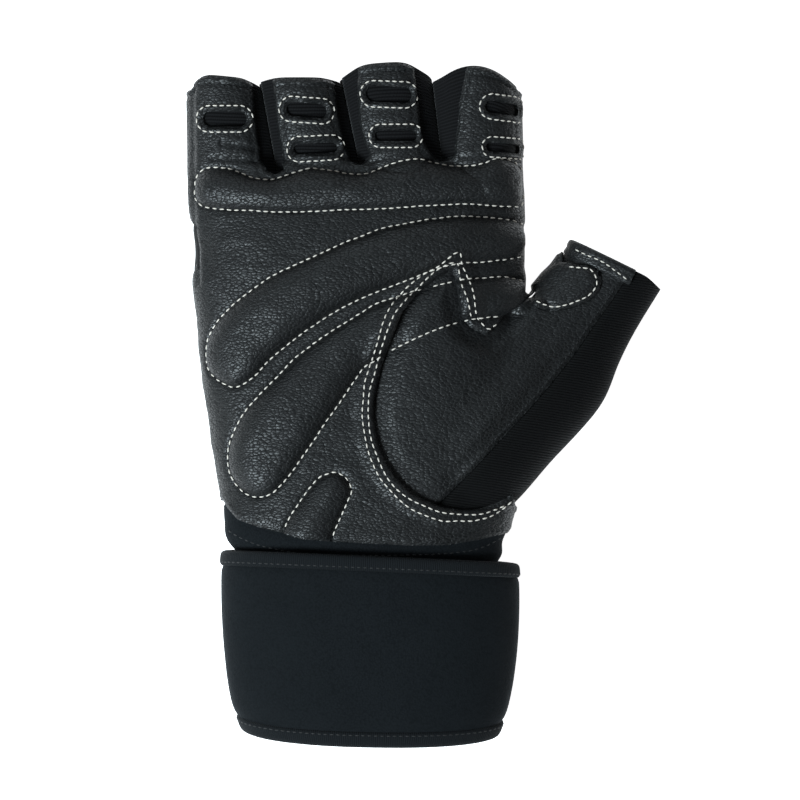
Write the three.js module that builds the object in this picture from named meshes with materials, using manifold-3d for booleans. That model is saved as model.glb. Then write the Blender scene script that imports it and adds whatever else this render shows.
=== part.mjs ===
// A right-hand weightlifting glove with half fingers and a wound wrist strap.
// It lies on its back: +X towards the thumb, +Y towards the fingers, +Z out of the palm.
// Lengths are in millimetres. The origin is under the middle of the glove, on the surface.
import * as THREE from "three";
import { mergeVertices } from "three/addons/utils/BufferGeometryUtils.js";
import Module from "manifold-3d";

// Overall sizes of the hand that the glove holds open.
const PALM_WIDTH = 108;
const PALM_LENGTH = 119;
const PALM_THICKNESS = 33;
const FINGER_LENGTH = 31;
const FINGER_THICKNESS = 24;
const THUMB_WIDTH = 32;
const THUMB_THICKNESS = 19;

// Walls and clearances.
const LEATHER = 1.6;
const FABRIC = 1.4;
const GAP = 0.3;
const SEAM_HEIGHT = 13.2;
const SEAM_LAP = 4;
const ROOT_LAP = 6;

// Pads, grip slots, and the thumb's patch and hem.
const PAD_RISE = 3;
const PAD_SINK = 0.45;
const SLOT_LENGTH = 14;
const SLOT_WIDTH = 4.4;
const PATCH = 2.2;
const HEM_WIDTH = 5;
const HEM = 1.1;

// The wrist: an inner band, and the bound strap wound round it.
const CUFF_LENGTH = 24;
const CUFF = 2.6;
const CUFF_LINE = 8.4;
const CUFF_SLOPE = -0.1;
const STRAP_WIDTH = 55.8;
const STRAP = 2.6;
const BINDING_WIDTH = 4.8;
const BINDING = 3.8;
const CLOSURE = 1.8;
const WRIST_ROOM = 4.644;
const WRIST_RISE = 5.36;
const WRIST_SHIFT = 1.386;
const STRAP_TOP = -5;

// The hand's body from the wrist to the finger roots, flattened where its underside is below 0.
// along is a share of PALM_LENGTH, left and right are shares of PALM_WIDTH, top and bottom are
// shares of PALM_THICKNESS, and front and back tell how square its two halves are: 2 is an ellipse.
const BODY = [
  { along: -0.2, left: -0.32, right: 0.4, top: 1.07, bottom: 0.27, front: 2.3, back: 2.1 },
  { along: -0.12, left: -0.325, right: 0.405, top: 1.08, bottom: 0.27, front: 2.3, back: 2.1 },
  { along: -0.05, left: -0.34, right: 0.424, top: 1.08, bottom: 0.26, front: 2.3, back: 2.1 },
  { along: 0, left: -0.374, right: 0.44, top: 1.08, bottom: 0.23, front: 2.35, back: 2.2 },
  { along: 0.06, left: -0.393, right: 0.448, top: 1.07, bottom: 0.18, front: 2.45, back: 2.5 },
  { along: 0.12, left: -0.386, right: 0.45, top: 1.06, bottom: 0.13, front: 2.5, back: 2.7 },
  { along: 0.19, left: -0.399, right: 0.453, top: 1.04, bottom: 0.08, front: 2.6, back: 2.9 },
  { along: 0.26, left: -0.413, right: 0.457, top: 1.02, bottom: 0.04, front: 2.6, back: 3.1 },
  { along: 0.38, left: -0.431, right: 0.465, top: 0.99, bottom: 0.01, front: 2.7, back: 3.3 },
  { along: 0.51, left: -0.446, right: 0.473, top: 0.96, bottom: -0.012, front: 2.7, back: 3.4 },
  { along: 0.6, left: -0.454, right: 0.478, top: 0.95, bottom: -0.012, front: 2.7, back: 3.4 },
  { along: 0.69, left: -0.468, right: 0.482, top: 0.94, bottom: -0.012, front: 2.7, back: 3.4 },
  { along: 0.78, left: -0.462, right: 0.484, top: 0.92, bottom: -0.012, front: 2.7, back: 3.4 },
  { along: 0.88, left: -0.475, right: 0.481, top: 0.88, bottom: -0.01, front: 2.7, back: 3.4 },
  { along: 0.95, left: -0.481, right: 0.481, top: 0.83, bottom: 0.01, front: 2.7, back: 3.4 },
  { along: 1.01, left: -0.481, right: 0.48, top: 0.74, bottom: 0.03, front: 2.7, back: 3.4 },
];

// The strap's wrist lies round the cuff with room at its sides and over it.
const CUFF_ROW = BODY.find(({ along }) => along === 0);
const WRIST_WIDTH = (CUFF_ROW.right - CUFF_ROW.left) * PALM_WIDTH + 2 * WRIST_ROOM;
const WRIST_HEIGHT = CUFF_ROW.top * PALM_THICKNESS + WRIST_RISE;
const WRIST_X = ((CUFF_ROW.left + CUFF_ROW.right) / 2) * PALM_WIDTH + WRIST_SHIFT;

// The fingers. root and tip give the middle and rootHalf and tipHalf the half-width there, as shares
// of PALM_WIDTH. reach is the length and drop how far its end's sides stand back, as shares of
// FINGER_LENGTH, and top is the height as a share of FINGER_THICKNESS.
const FINGERS = {
  little: { root: -0.3606, tip: -0.3873, rootHalf: 0.1208, tipHalf: 0.0942, reach: 0.944, drop: 0.11, top: 0.94 },
  ring: { root: -0.1134, tip: -0.1696, rootHalf: 0.1208, tipHalf: 0.118, reach: 0.929, drop: 0.08, top: 1.02 },
  middle: { root: 0.1319, tip: 0.0859, rootHalf: 0.119, tipHalf: 0.132, reach: 1.077, drop: 0.2, top: 1.08 },
  index: { root: 0.368, tip: 0.351, rootHalf: 0.1116, tipHalf: 0.1276, reach: 1.048, drop: 0.2, top: 1.02 },
};
const FINGER_START = 0.86; // where a finger's form leaves the body, as a share of PALM_LENGTH
const FINGER_ROOT = 1; // where the fingers part, as a share of PALM_LENGTH
const FINGER_LIFT = 0.05; // the fingers' undersides above the surface, as a share of FINGER_THICKNESS

// The lines between neighbouring fingers, as shares of PALM_WIDTH at the root and at the tip.
const PARTINGS = [
  { root: -0.9, tip: -0.9 },
  { root: -0.237, tip: -0.29 },
  { root: 0.01, tip: -0.049 },
  { root: 0.254, tip: 0.221 },
  { root: 0.9, tip: 0.9 },
];

// The grip slots. along is a share of FINGER_LENGTH from the root, across is a share of the finger's
// half-width, length and width are shares of SLOT_LENGTH and SLOT_WIDTH, and lean and turn are degrees.
const SLOTS = [
  { finger: "little", along: 0.51, across: -0.12, length: 1.05, width: 1.08, lean: 0, turn: 0 },
  { finger: "ring", along: 0.6, across: 0.03, length: 0.96, width: 0.96, lean: 0, turn: -5 },
  { finger: "ring", along: 0.21, across: 0.07, length: 1.05, width: 0.76, lean: 0, turn: 4 },
  { finger: "middle", along: 0.76, across: 0, length: 1.1, width: 1.14, lean: 0, turn: -3 },
  { finger: "middle", along: 0.33, across: 0.03, length: 1, width: 0.8, lean: 0, turn: 0 },
  { finger: "index", along: 0.62, across: 0.1, length: 1.04, width: 0.9, lean: 35, turn: -9 },
  { finger: "index", along: 0.21, across: 0.1, length: 1.04, width: 0.68, lean: 35, turn: -4 },
];

// The thumb's centre line from the mound to its end. across and along are shares of PALM_WIDTH and
// PALM_LENGTH, half is a share of THUMB_WIDTH, middle, up and down are shares of THUMB_THICKNESS, and
// heading is its direction in degrees from +Y towards +X.
const THUMB = [
  { across: 0.2, along: 0.1, half: 0.5, middle: 0.95, up: 0.62, down: 0.5, heading: 46 },
  { across: 0.339, along: 0.204, half: 0.581, middle: 0.95, up: 0.82, down: 0.6, heading: 46 },
  { across: 0.452, along: 0.325, half: 0.6, middle: 0.88, up: 0.74, down: 0.6, heading: 42 },
  { across: 0.585, along: 0.452, half: 0.581, middle: 0.78, up: 0.62, down: 0.58, heading: 37 },
  { across: 0.65, along: 0.567, half: 0.55, middle: 0.7, up: 0.54, down: 0.54, heading: 33 },
  { across: 0.701, along: 0.641, half: 0.52, middle: 0.66, up: 0.5, down: 0.5, heading: 29 },
  { across: 0.779, along: 0.748, half: 0.5, middle: 0.63, up: 0.48, down: 0.48, heading: 26 },
];

// Outlines of the pieces, seen from the palm, as shares of PALM_WIDTH and PALM_LENGTH.
// The palm leather: its lower edge from the thumb's side to the little finger's, then the fronts.
const PALM_OUTLINE = [
  [0.56, 0.05], [0.464, 0.046], [0.434, 0.024], [0.41, 0.013], [0.372, 0.005], [0.277, -0.008],
  [0.164, -0.009], [0.016, -0.003], [-0.07, 0.001], [-0.156, 0.008], [-0.215, 0.024], [-0.292, 0.04],
  [-0.325, 0.051], [-0.348, 0.059], [-0.378, 0.086], [-0.398, 0.11], [-0.56, 0.112], [-0.56, 1.5],
  [-0.299, 1.5], [-0.299, 1.26], [-0.286, 1.1], [-0.262, 0.998],
  [-0.21, 0.998], [-0.235, 1.1], [-0.247, 1.26], [-0.247, 1.5],
  [-0.055, 1.5], [-0.055, 1.26], [-0.035, 1.1], [-0.017, 1.03],
  [0.04, 1.03], [0.008, 1.1], [0.003, 1.26], [0.003, 1.5],
  [0.181, 1.5], [0.181, 1.26], [0.195, 1.1], [0.218, 1.04],
  [0.289, 1.04], [0.302, 1.1], [0.326, 1.26], [0.326, 1.5],
  [0.53, 1.5], [0.53, 0.5], [0.56, 0.13],
];

// The opening in the palm leather round the thumb's mound.
const OPENING = [
  [0.7, 0.125], [0.467, 0.118], [0.452, 0.109], [0.413, 0.094], [0.372, 0.089], [0.316, 0.086],
  [0.256, 0.094], [0.203, 0.113], [0.164, 0.134], [0.123, 0.172], [0.093, 0.212], [0.073, 0.256],
  [0.062, 0.296], [0.055, 0.336], [0.058, 0.382], [0.066, 0.425], [0.075, 0.46], [0.102, 0.527],
  [0.138, 0.61], [0.182, 0.664], [0.277, 0.723], [0.289, 0.726], [0.304, 0.664], [0.316, 0.602],
  [0.342, 0.573], [0.391, 0.551], [0.428, 0.586], [0.452, 0.613], [0.522, 0.655], [0.7, 0.67],
];

// Where the thumb's pieces end under the palm leather, and where they end on the back.
const THUMB_FRONT = [
  [0.9, 0.09], [0.62, 0.09], [0.475, 0.07], [0.42, 0.055], [0.34, 0.045], [0.24, 0.05], [0.14, 0.07],
  [0.06, 0.13], [0.01, 0.24], [0, 0.36], [0.03, 0.5], [0.1, 0.65], [0.2, 0.75], [0.29, 0.78],
  [0.38, 0.72], [0.45, 0.69], [0.535, 0.72], [0.62, 0.84], [0.7, 1], [1.2, 0.9],
];
const THUMB_BACK = [
  [0.9, 0.09], [0.62, 0.09], [0.475, 0.07], [0.43, 0.1], [0.405, 0.2], [0.405, 0.35], [0.43, 0.52],
  [0.48, 0.66], [0.535, 0.72], [0.62, 0.84], [0.7, 1], [1.2, 0.9],
];
const ZONE_HEIGHT = 0.4; // the height where these two outlines meet, as a share of PALM_THICKNESS

// The thumb's leather ends at this seam, from the thumb's end down to the wrist; the rest is outside it.
const THUMB_LEATHER = [
  [0.862, 0.78], [0.828, 0.737], [0.793, 0.691], [0.757, 0.643], [0.71, 0.584], [0.653, 0.508],
  [0.578, 0.422], [0.511, 0.352], [0.425, 0.269], [0.348, 0.194], [0.262, 0.116], [0.2, 0.04],
  [-0.2, 0.04], [-0.2, 1.2], [0.9, 1.2],
];

// The patch in the crotch of the thumb.
const PATCH_OUTLINE = [
  [0.535, 0.66], [0.54, 0.643], [0.561, 0.635], [0.591, 0.629], [0.624, 0.635], [0.65, 0.643],
  [0.683, 0.656], [0.701, 0.67], [0.711, 0.688], [0.711, 0.702], [0.707, 0.718], [0.695, 0.729],
  [0.68, 0.733], [0.665, 0.733], [0.64, 0.735], [0.615, 0.742], [0.58, 0.79], [0.535, 0.79],
];

// The pads on the palm: matching points of each pad's lower and upper edge, as shares of PALM_WIDTH
// and PALM_LENGTH, with its rise between them as a share of PAD_RISE.
const PADS = {
  knuckle: [
    { lowX: -0.479, lowY: 0.933, highX: -0.479, highY: 0.955, rise: 0 },
    { lowX: -0.446, lowY: 0.898, highX: -0.452, highY: 0.996, rise: 0.8 },
    { lowX: -0.384, lowY: 0.89, highX: -0.396, highY: 1.002, rise: 1 },
    { lowX: -0.316, lowY: 0.887, highX: -0.316, highY: 0.979, rise: 1 },
    { lowX: -0.23, lowY: 0.883, highX: -0.236, highY: 0.971, rise: 1 },
    { lowX: -0.135, lowY: 0.885, highX: -0.132, highY: 1, rise: 1 },
    { lowX: -0.031, lowY: 0.889, highX: -0.034, highY: 0.987, rise: 1 },
    { lowX: 0.049, lowY: 0.89, highX: 0.04, highY: 0.987, rise: 1 },
    { lowX: 0.144, lowY: 0.895, highX: 0.144, highY: 1.021, rise: 1 },
    { lowX: 0.221, lowY: 0.901, highX: 0.227, highY: 1.016, rise: 1 },
    { lowX: 0.304, lowY: 0.904, highX: 0.307, highY: 1.006, rise: 1 },
    { lowX: 0.399, lowY: 0.901, highX: 0.416, highY: 1.027, rise: 1 },
    { lowX: 0.455, lowY: 0.898, highX: 0.465, highY: 1.008, rise: 0.8 },
    { lowX: 0.482, lowY: 0.925, highX: 0.482, highY: 0.96, rise: 0 },
  ],
  upper: [
    { lowX: -0.419, lowY: 0.422, highX: -0.44, highY: 0.444, rise: 0 },
    { lowX: -0.36, lowY: 0.414, highX: -0.437, highY: 0.481, rise: 0.6 },
    { lowX: -0.313, lowY: 0.433, highX: -0.44, highY: 0.527, rise: 0.9 },
    { lowX: -0.277, lowY: 0.465, highX: -0.428, highY: 0.562, rise: 1 },
    { lowX: -0.164, lowY: 0.551, highX: -0.342, highY: 0.648, rise: 1 },
    { lowX: -0.016, lowY: 0.635, highX: -0.194, highY: 0.733, rise: 1 },
    { lowX: 0.07, lowY: 0.67, highX: -0.081, highY: 0.78, rise: 1 },
    { lowX: 0.161, lowY: 0.705, highX: 0.013, highY: 0.815, rise: 1 },
    { lowX: 0.25, lowY: 0.737, highX: 0.132, highY: 0.847, rise: 1 },
    { lowX: 0.354, lowY: 0.748, highX: 0.307, highY: 0.871, rise: 1 },
    { lowX: 0.428, lowY: 0.756, highX: 0.413, highY: 0.866, rise: 0.9 },
    { lowX: 0.47, lowY: 0.765, highX: 0.468, highY: 0.855, rise: 0.6 },
    { lowX: 0.488, lowY: 0.783, highX: 0.488, highY: 0.831, rise: 0 },
  ],
  lower: [
    { lowX: -0.33, lowY: 0.113, highX: -0.36, highY: 0.137, rise: 0 },
    { lowX: -0.271, lowY: 0.121, highX: -0.372, highY: 0.188, rise: 0.6 },
    { lowX: -0.243, lowY: 0.132, highX: -0.376, highY: 0.226, rise: 0.9 },
    { lowX: -0.209, lowY: 0.167, highX: -0.369, highY: 0.269, rise: 1 },
    { lowX: -0.135, lowY: 0.255, highX: -0.293, highY: 0.382, rise: 1 },
    { lowX: -0.093, lowY: 0.312, highX: -0.236, highY: 0.436, rise: 1 },
    { lowX: -0.047, lowY: 0.371, highX: -0.179, highY: 0.489, rise: 1 },
    { lowX: -0.001, lowY: 0.433, highX: -0.099, highY: 0.546, rise: 1 },
    { lowX: 0.049, lowY: 0.479, highX: -0.016, highY: 0.594, rise: 1 },
    { lowX: 0.105, lowY: 0.511, highX: 0.087, highY: 0.645, rise: 0.9 },
    { lowX: 0.182, lowY: 0.546, highX: 0.182, highY: 0.672, rise: 0.8 },
    { lowX: 0.28, lowY: 0.578, highX: 0.28, highY: 0.694, rise: 0.6 },
    { lowX: 0.384, lowY: 0.605, highX: 0.384, highY: 0.705, rise: 0.5 },
    { lowX: 0.455, lowY: 0.62, highX: 0.465, highY: 0.7, rise: 0.3 },
    { lowX: 0.488, lowY: 0.648, highX: 0.488, highY: 0.675, rise: 0 },
  ],
  heel: [
    { lowX: -0.23, lowY: -0.03, highX: -0.093, highY: -0.04, rise: 0.6 },
    { lowX: -0.207, lowY: 0.038, highX: -0.067, highY: 0.022, rise: 0.9 },
    { lowX: -0.188, lowY: 0.073, highX: -0.04, highY: 0.073, rise: 1 },
    { lowX: -0.156, lowY: 0.116, highX: -0.019, highY: 0.116, rise: 1 },
    { lowX: -0.129, lowY: 0.151, highX: -0.013, highY: 0.145, rise: 0.9 },
    { lowX: -0.099, lowY: 0.172, highX: -0.028, highY: 0.172, rise: 0.6 },
    { lowX: -0.067, lowY: 0.188, highX: -0.055, highY: 0.188, rise: 0 },
  ],
};

// The strap's half-width down its length, as a share of WRIST_WIDTH / 2. sag is how far it bows
// towards the arm on the palm and the back, and tilt how far it drops from the little finger's side
// to the thumb's, both in shares of STRAP_WIDTH.
const STRAP_PROFILE = [
  { down: 0, half: 0.99, sag: -0.013, tilt: 0.077 },
  { down: 0.12, half: 1, sag: -0.005, tilt: 0.07 },
  { down: 0.3, half: 0.998, sag: 0.01, tilt: 0.06 },
  { down: 0.5, half: 0.985, sag: 0.03, tilt: 0.05 },
  { down: 0.7, half: 0.96, sag: 0.05, tilt: 0.044 },
  { down: 0.85, half: 0.925, sag: 0.068, tilt: 0.038 },
  { down: 1, half: 0.86, sag: 0.08, tilt: 0.034 },
];
const WRIST_ROUND = 2.35;

// The strap's levels below the wrist's outline along its turns, in degrees: 90 is the palm, -90 the
// back. Its first end lies under its last one on the back. Levels are shares of BINDING.
const STRAP_RUN = [
  { turn: -130, level: -1.237 },
  { turn: -50, level: -1.237 },
  { turn: -25, level: -0.895 },
  { turn: -5, level: -0.421 },
  { turn: 15, level: -0.184 },
  { turn: 30, level: -0.158 },
  { turn: 310, level: -0.158 },
];
const CLOSURE_RUN = { from: -49, to: -18, downFrom: 0.24, downTo: 0.76 };
const BINDING_SECTION = [
  [0.5, 0.28], [0.3, 0.5], [-0.3, 0.5], [-0.5, 0.28], [-0.5, -0.28], [-0.3, -0.5], [0.3, -0.5], [0.5, -0.28],
];

// How finely the forms are cut: sides round a section, and steps along a form.
const BODY_SIDES = 28;
const BODY_STEPS = 15;
const FINGER_SIDES = 12;
const FINGER_ROUND = 2.5;
const FINGER_BACK_ROUND = 3;
const THUMB_SIDES = 14;
const THUMB_STEPS = 9;
const THUMB_ROUND = 2.5;
const STRAP_STEPS = 26;
const STRAP_ROWS = 4;
const PAD_STEPS = 3;
const SLOT_ARCS = 4;

// How far cutting forms reach: past every piece, past the open ends, beside the thumb's line and
// before its start, and how deep a pad is rooted in the leather.
const FAR = 400;
const OPEN_REACH = 20;
const THUMB_REACH = 5;
const THUMB_SIDE = 50;
const THUMB_RUN_IN = 30;
const PAD_ROOT = 0.9;

const wasm = await Module();
wasm.setup();

/** A closed three.js geometry as a manifold-3d solid, turned right side out. */
function solid(geometry) {
  const bare = geometry.index ? geometry.toNonIndexed() : geometry.clone();
  bare.deleteAttribute("normal");
  bare.deleteAttribute("uv");
  const merged = mergeVertices(bare, 1e-4);
  const make = (triVerts) =>
    new wasm.Manifold(
      new wasm.Mesh({ numProp: 3, vertProperties: merged.attributes.position.array, triVerts }),
    );
  const faces = new Uint32Array(merged.index.array);
  const made = make(faces);
  return made.volume() >= 0 ? made : make(faces.map((_, i) => faces[i - (i % 3) + 2 - (i % 3)]));
}

/** Keeps a solid's largest body, so that a sliver left by a cut doesn't become a piece. */
function largest(made) {
  return made.decompose().reduce((a, b) => (b.volume() > a.volume() ? b : a));
}

/** A named three.js mesh of a solid. */
function part(name, made, material) {
  const { vertProperties, triVerts } = largest(made).getMesh();
  const geometry = new THREE.BufferGeometry();
  geometry.setAttribute("position", new THREE.BufferAttribute(vertProperties, 3));
  geometry.setIndex(new THREE.BufferAttribute(triVerts, 1));
  geometry.computeVertexNormals();
  const mesh = new THREE.Mesh(geometry, material);
  mesh.name = name;
  return mesh;
}

/** A closed body through rings of equally many points. Without closed, its two ends are capped. */
function loft(rings, closed = false) {
  const sides = rings[0].length;
  const points = rings.flat();
  const faces = [];
  const spans = closed ? rings.length : rings.length - 1;
  for (let i = 0; i < spans; i += 1) {
    const here = i * sides;
    const next = ((i + 1) % rings.length) * sides;
    for (let k = 0; k < sides; k += 1) {
      const l = (k + 1) % sides;
      faces.push(here + k, here + l, next + l, here + k, next + l, next + k);
    }
  }
  if (!closed) {
    const ends = [[0, false], [(rings.length - 1) * sides, true]];
    for (const [start, far] of ends) {
      const middle = new THREE.Vector3();
      points.slice(start, start + sides).forEach((p) => middle.addScaledVector(p, 1 / sides));
      points.push(middle);
      for (let k = 0; k < sides; k += 1) {
        const a = start + k;
        const b = start + ((k + 1) % sides);
        faces.push(...(far ? [points.length - 1, a, b] : [points.length - 1, b, a]));
      }
    }
  }
  return new THREE.BufferGeometry().setFromPoints(points).setIndex(faces);
}

/** A table's row at a place between its rows, read on a smooth curve through them. */
function between(rows, key, at) {
  const last = rows.length - 1;
  const found = rows.findIndex((row, i) => i < last && at <= rows[i + 1][key]);
  const i = found < 0 ? last - 1 : found;
  const t = THREE.MathUtils.clamp((at - rows[i][key]) / (rows[i + 1][key] - rows[i][key]), 0, 1);
  return blend(rows, i, t);
}

/** Row i of a table moved towards row i + 1 by t, on a Catmull-Rom curve. */
function blend(rows, i, t) {
  const row = (k) => rows[THREE.MathUtils.clamp(k, 0, rows.length - 1)];
  const made = {};
  for (const name of Object.keys(rows[0])) {
    const [a, b, c, d] = [-1, 0, 1, 2].map((k) => row(i + k)[name]);
    const bend = (2 * a - 5 * b + 4 * c - d) * t * t + (3 * b - a - 3 * c + d) * t * t * t;
    made[name] = b + 0.5 * ((c - a) * t + bend);
  }
  return made;
}

/** A superellipse's sine or cosine. */
function squared(value, round) {
  return Math.sign(value) * Math.abs(value) ** (2 / round);
}

/** One cross-section, across its heading, whose upper and lower halves differ. bow sets its sides back. */
function section({ x, y, heading, half, middle, up, down, front, back, sides, bow = 0 }) {
  const angle = THREE.MathUtils.degToRad(heading);
  return Array.from({ length: sides }, (_, k) => {
    const turn = (k / sides) * 2 * Math.PI;
    const high = Math.sin(turn) >= 0;
    const round = high ? front : back;
    const across = half * squared(Math.cos(turn), round);
    const set = -bow * (across / half) ** 2;
    return new THREE.Vector3(
      x + across * Math.cos(angle) + set * Math.sin(angle),
      y - across * Math.sin(angle) + set * Math.cos(angle),
      middle + (high ? up : down) * squared(Math.sin(turn), round),
    );
  });
}

/** The body's section at a share of the palm's length, grown by level but not below its underside. */
function bodySection(along, level) {
  const row = between(BODY, "along", along);
  const half = ((row.right - row.left) / 2) * PALM_WIDTH;
  const deep = ((row.top - row.bottom) / 2) * PALM_THICKNESS;
  return {
    x: ((row.left + row.right) / 2) * PALM_WIDTH,
    y: along * PALM_LENGTH,
    heading: 0,
    half: half + level,
    middle: ((row.top + row.bottom) / 2) * PALM_THICKNESS,
    up: deep + level,
    down: deep + Math.min(level, 0),
    front: row.front,
    back: row.back,
    sides: BODY_SIDES,
  };
}

/** The hand's body as a solid, grown by level and reaching past the wrist by open. */
function bodyForm(level, open = 0) {
  const start = BODY[0].along;
  const end = BODY.at(-1).along + Math.min(level, 0) / PALM_LENGTH;
  const sections = Array.from({ length: BODY_STEPS + 1 }, (_, i) => {
    return bodySection(start + (i / BODY_STEPS) * (end - start), level);
  });
  return solid(loft([pushed(sections[0], -open - 1), ...sections].map(section)));
}

/** Where a finger's middle and half-width lie at a share of FINGER_LENGTH from its root. */
function fingerAt(finger, share) {
  const t = THREE.MathUtils.clamp(share, -0.5, 1.2);
  const wide = THREE.MathUtils.clamp(share, 0, 1);
  return {
    x: (finger.root + (finger.tip - finger.root) * t) * PALM_WIDTH,
    y: FINGER_ROOT * PALM_LENGTH + share * FINGER_LENGTH,
    half: (finger.rootHalf + (finger.tipHalf - finger.rootHalf) * wide) * PALM_WIDTH,
  };
}

/** A finger's section at a share of FINGER_LENGTH from its root, grown by level. */
function fingerSection(finger, share, level) {
  const at = fingerAt(finger, share);
  const deep = ((finger.top - FINGER_LIFT) / 2) * FINGER_THICKNESS;
  return {
    ...at,
    heading: 0,
    half: at.half + level,
    middle: ((finger.top + FINGER_LIFT) / 2) * FINGER_THICKNESS,
    up: deep + level,
    down: deep + Math.min(level, 0),
    front: FINGER_ROUND,
    back: FINGER_BACK_ROUND,
    sides: FINGER_SIDES,
    bow: finger.drop * FINGER_LENGTH * Math.max(0, share / finger.reach),
  };
}

/** A finger's form, grown by level and reaching past its end by open. */
function fingerForm(finger, level, open = 0) {
  const start = ((FINGER_START - FINGER_ROOT) * PALM_LENGTH) / FINGER_LENGTH;
  const shares = [start, -0.1, ...[0.12, 0.4, 0.7, 1].map((share) => share * finger.reach)];
  const sections = shares.map((share) => fingerSection(finger, share, level));
  return solid(loft(reaching(sections, open).map(section)));
}

/** The height of the palm side over a place, without the thumb, grown by level. */
function palmHeight(x, y, level) {
  const fingers = Object.values(FINGERS).map((finger) => {
    return fingerSection(finger, (y / PALM_LENGTH - FINGER_ROOT) * (PALM_LENGTH / FINGER_LENGTH), level);
  });
  const heights = [bodySection(Math.min(y / PALM_LENGTH, 1.01), level), ...fingers].map((at) => {
    const share = Math.min(0.995, Math.abs(x - at.x) / at.half);
    return at.middle + at.up * (1 - share ** at.front) ** (1 / at.front);
  });
  return Math.max(heights[0], ...(y > FINGER_START * PALM_LENGTH ? heights.slice(1) : []));
}

/** The thumb's section at a step between its table's rows, grown by level. */
function thumbSection(step, level) {
  const i = Math.min(THUMB.length - 2, Math.floor(step));
  const row = blend(THUMB, i, step - i);
  return {
    x: row.across * PALM_WIDTH,
    y: row.along * PALM_LENGTH,
    heading: row.heading,
    half: row.half * THUMB_WIDTH + level,
    middle: row.middle * THUMB_THICKNESS,
    up: row.up * THUMB_THICKNESS + level,
    down: row.down * THUMB_THICKNESS + level,
    front: THUMB_ROUND,
    back: THUMB_ROUND,
    sides: THUMB_SIDES,
  };
}

/** A section moved along its own heading. */
function pushed(at, distance) {
  const angle = THREE.MathUtils.degToRad(at.heading);
  return { ...at, x: at.x + distance * Math.sin(angle), y: at.y + distance * Math.cos(angle) };
}

/** Sections with one more pushed out past the last, if there is a distance to reach. */
function reaching(sections, open) {
  return open > 0 ? [...sections, pushed(sections.at(-1), open)] : sections;
}

/** The thumb's form, grown by level and reaching past its end by open. */
function thumbForm(level, open = 0) {
  const sections = Array.from({ length: THUMB_STEPS + 1 }, (_, i) => {
    return thumbSection((i / THUMB_STEPS) * (THUMB.length - 1), level);
  });
  return solid(loft(reaching(sections, open).map(section)));
}

/** The whole hand's form at a level. open reaches past its wrist, its fingers' ends and its thumb's. */
function handForm(level, open = 0) {
  const fingers = Object.values(FINGERS).map((finger) => fingerForm(finger, level, open));
  return wasm.Manifold.union([bodyForm(level, open), thumbForm(level, open), ...fingers]);
}

/** Everything above the thumb's middle, moved up by lift. */
function aboveThumb(lift = 0) {
  const rings = Array.from({ length: THUMB_STEPS + 1 }, (_, i) => {
    const step = (i / THUMB_STEPS) * (THUMB.length - 1);
    const ends = { 0: -THUMB_RUN_IN, [THUMB_STEPS]: OPEN_REACH };
    const at = pushed(thumbSection(step, 0), ends[i] ?? 0);
    const angle = THREE.MathUtils.degToRad(at.heading);
    const corner = (across, z) =>
      new THREE.Vector3(at.x + across * Math.cos(angle), at.y - across * Math.sin(angle), z);
    const low = at.middle + lift;
    const side = THUMB_SIDE;
    return [corner(side, low), corner(side, FAR), corner(-side, FAR), corner(-side, low)];
  });
  return solid(loft(rings));
}

/** A prism over an outline of points, between two heights. */
function prism(points, low, high) {
  const shape = new THREE.Shape(points.map(([x, y]) => new THREE.Vector2(x, y)));
  const geometry = new THREE.ExtrudeGeometry(shape, { depth: high - low, bevelEnabled: false });
  return solid(geometry.translate(0, 0, low));
}

/** An outline in shares of the palm in millimetres, moved outwards by a distance. */
function grown(shares, distance) {
  const points = shares.map(([across, along]) => new THREE.Vector2(across * PALM_WIDTH, along * PALM_LENGTH));
  const out = THREE.ShapeUtils.isClockWise(points) ? -distance : distance;
  return points.map((p, i) => {
    const before = points[(i + points.length - 1) % points.length];
    const after = points[(i + 1) % points.length];
    const here = after.clone().sub(p).normalize();
    const mean = here.clone().add(p.clone().sub(before).normalize()).normalize();
    const reach = out / Math.max(0.4, mean.dot(here));
    return [p.x + mean.y * reach, p.y - mean.x * reach];
  });
}

/** A prism over an outline in shares of the palm, grown by a distance. */
function overPalm(shares, low = -FAR, high = FAR, distance = 0) {
  return prism(grown(shares, distance), low, high);
}

/** Everything on the finger side of the cuff's upper edge, moved towards the fingers by lift. */
function aboveCuff(lift) {
  const edge = (x) => [x, CUFF_LINE + CUFF_SLOPE * x + lift];
  return prism([edge(-FAR), edge(FAR), [FAR, FAR], [-FAR, FAR]], -FAR, FAR);
}

/** One finger's share of the hand beyond a line across its root. */
function fingerZone(index, inset, lap) {
  const along = FINGER_ROOT - lap / PALM_LENGTH;
  const at = ({ root, tip }, share, side) => [
    root + (tip - root) * share + (side * inset) / PALM_WIDTH,
    FINGER_ROOT + (share * FINGER_LENGTH) / PALM_LENGTH,
  ];
  const [left, right] = [PARTINGS[index], PARTINGS[index + 1]];
  return overPalm([
    [at(left, 0, 1)[0], along], [at(right, 0, -1)[0], along], at(right, 0, -1), at(right, 1.4, -1),
    at(left, 1.4, 1), at(left, 0, 1),
  ]);
}

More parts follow.
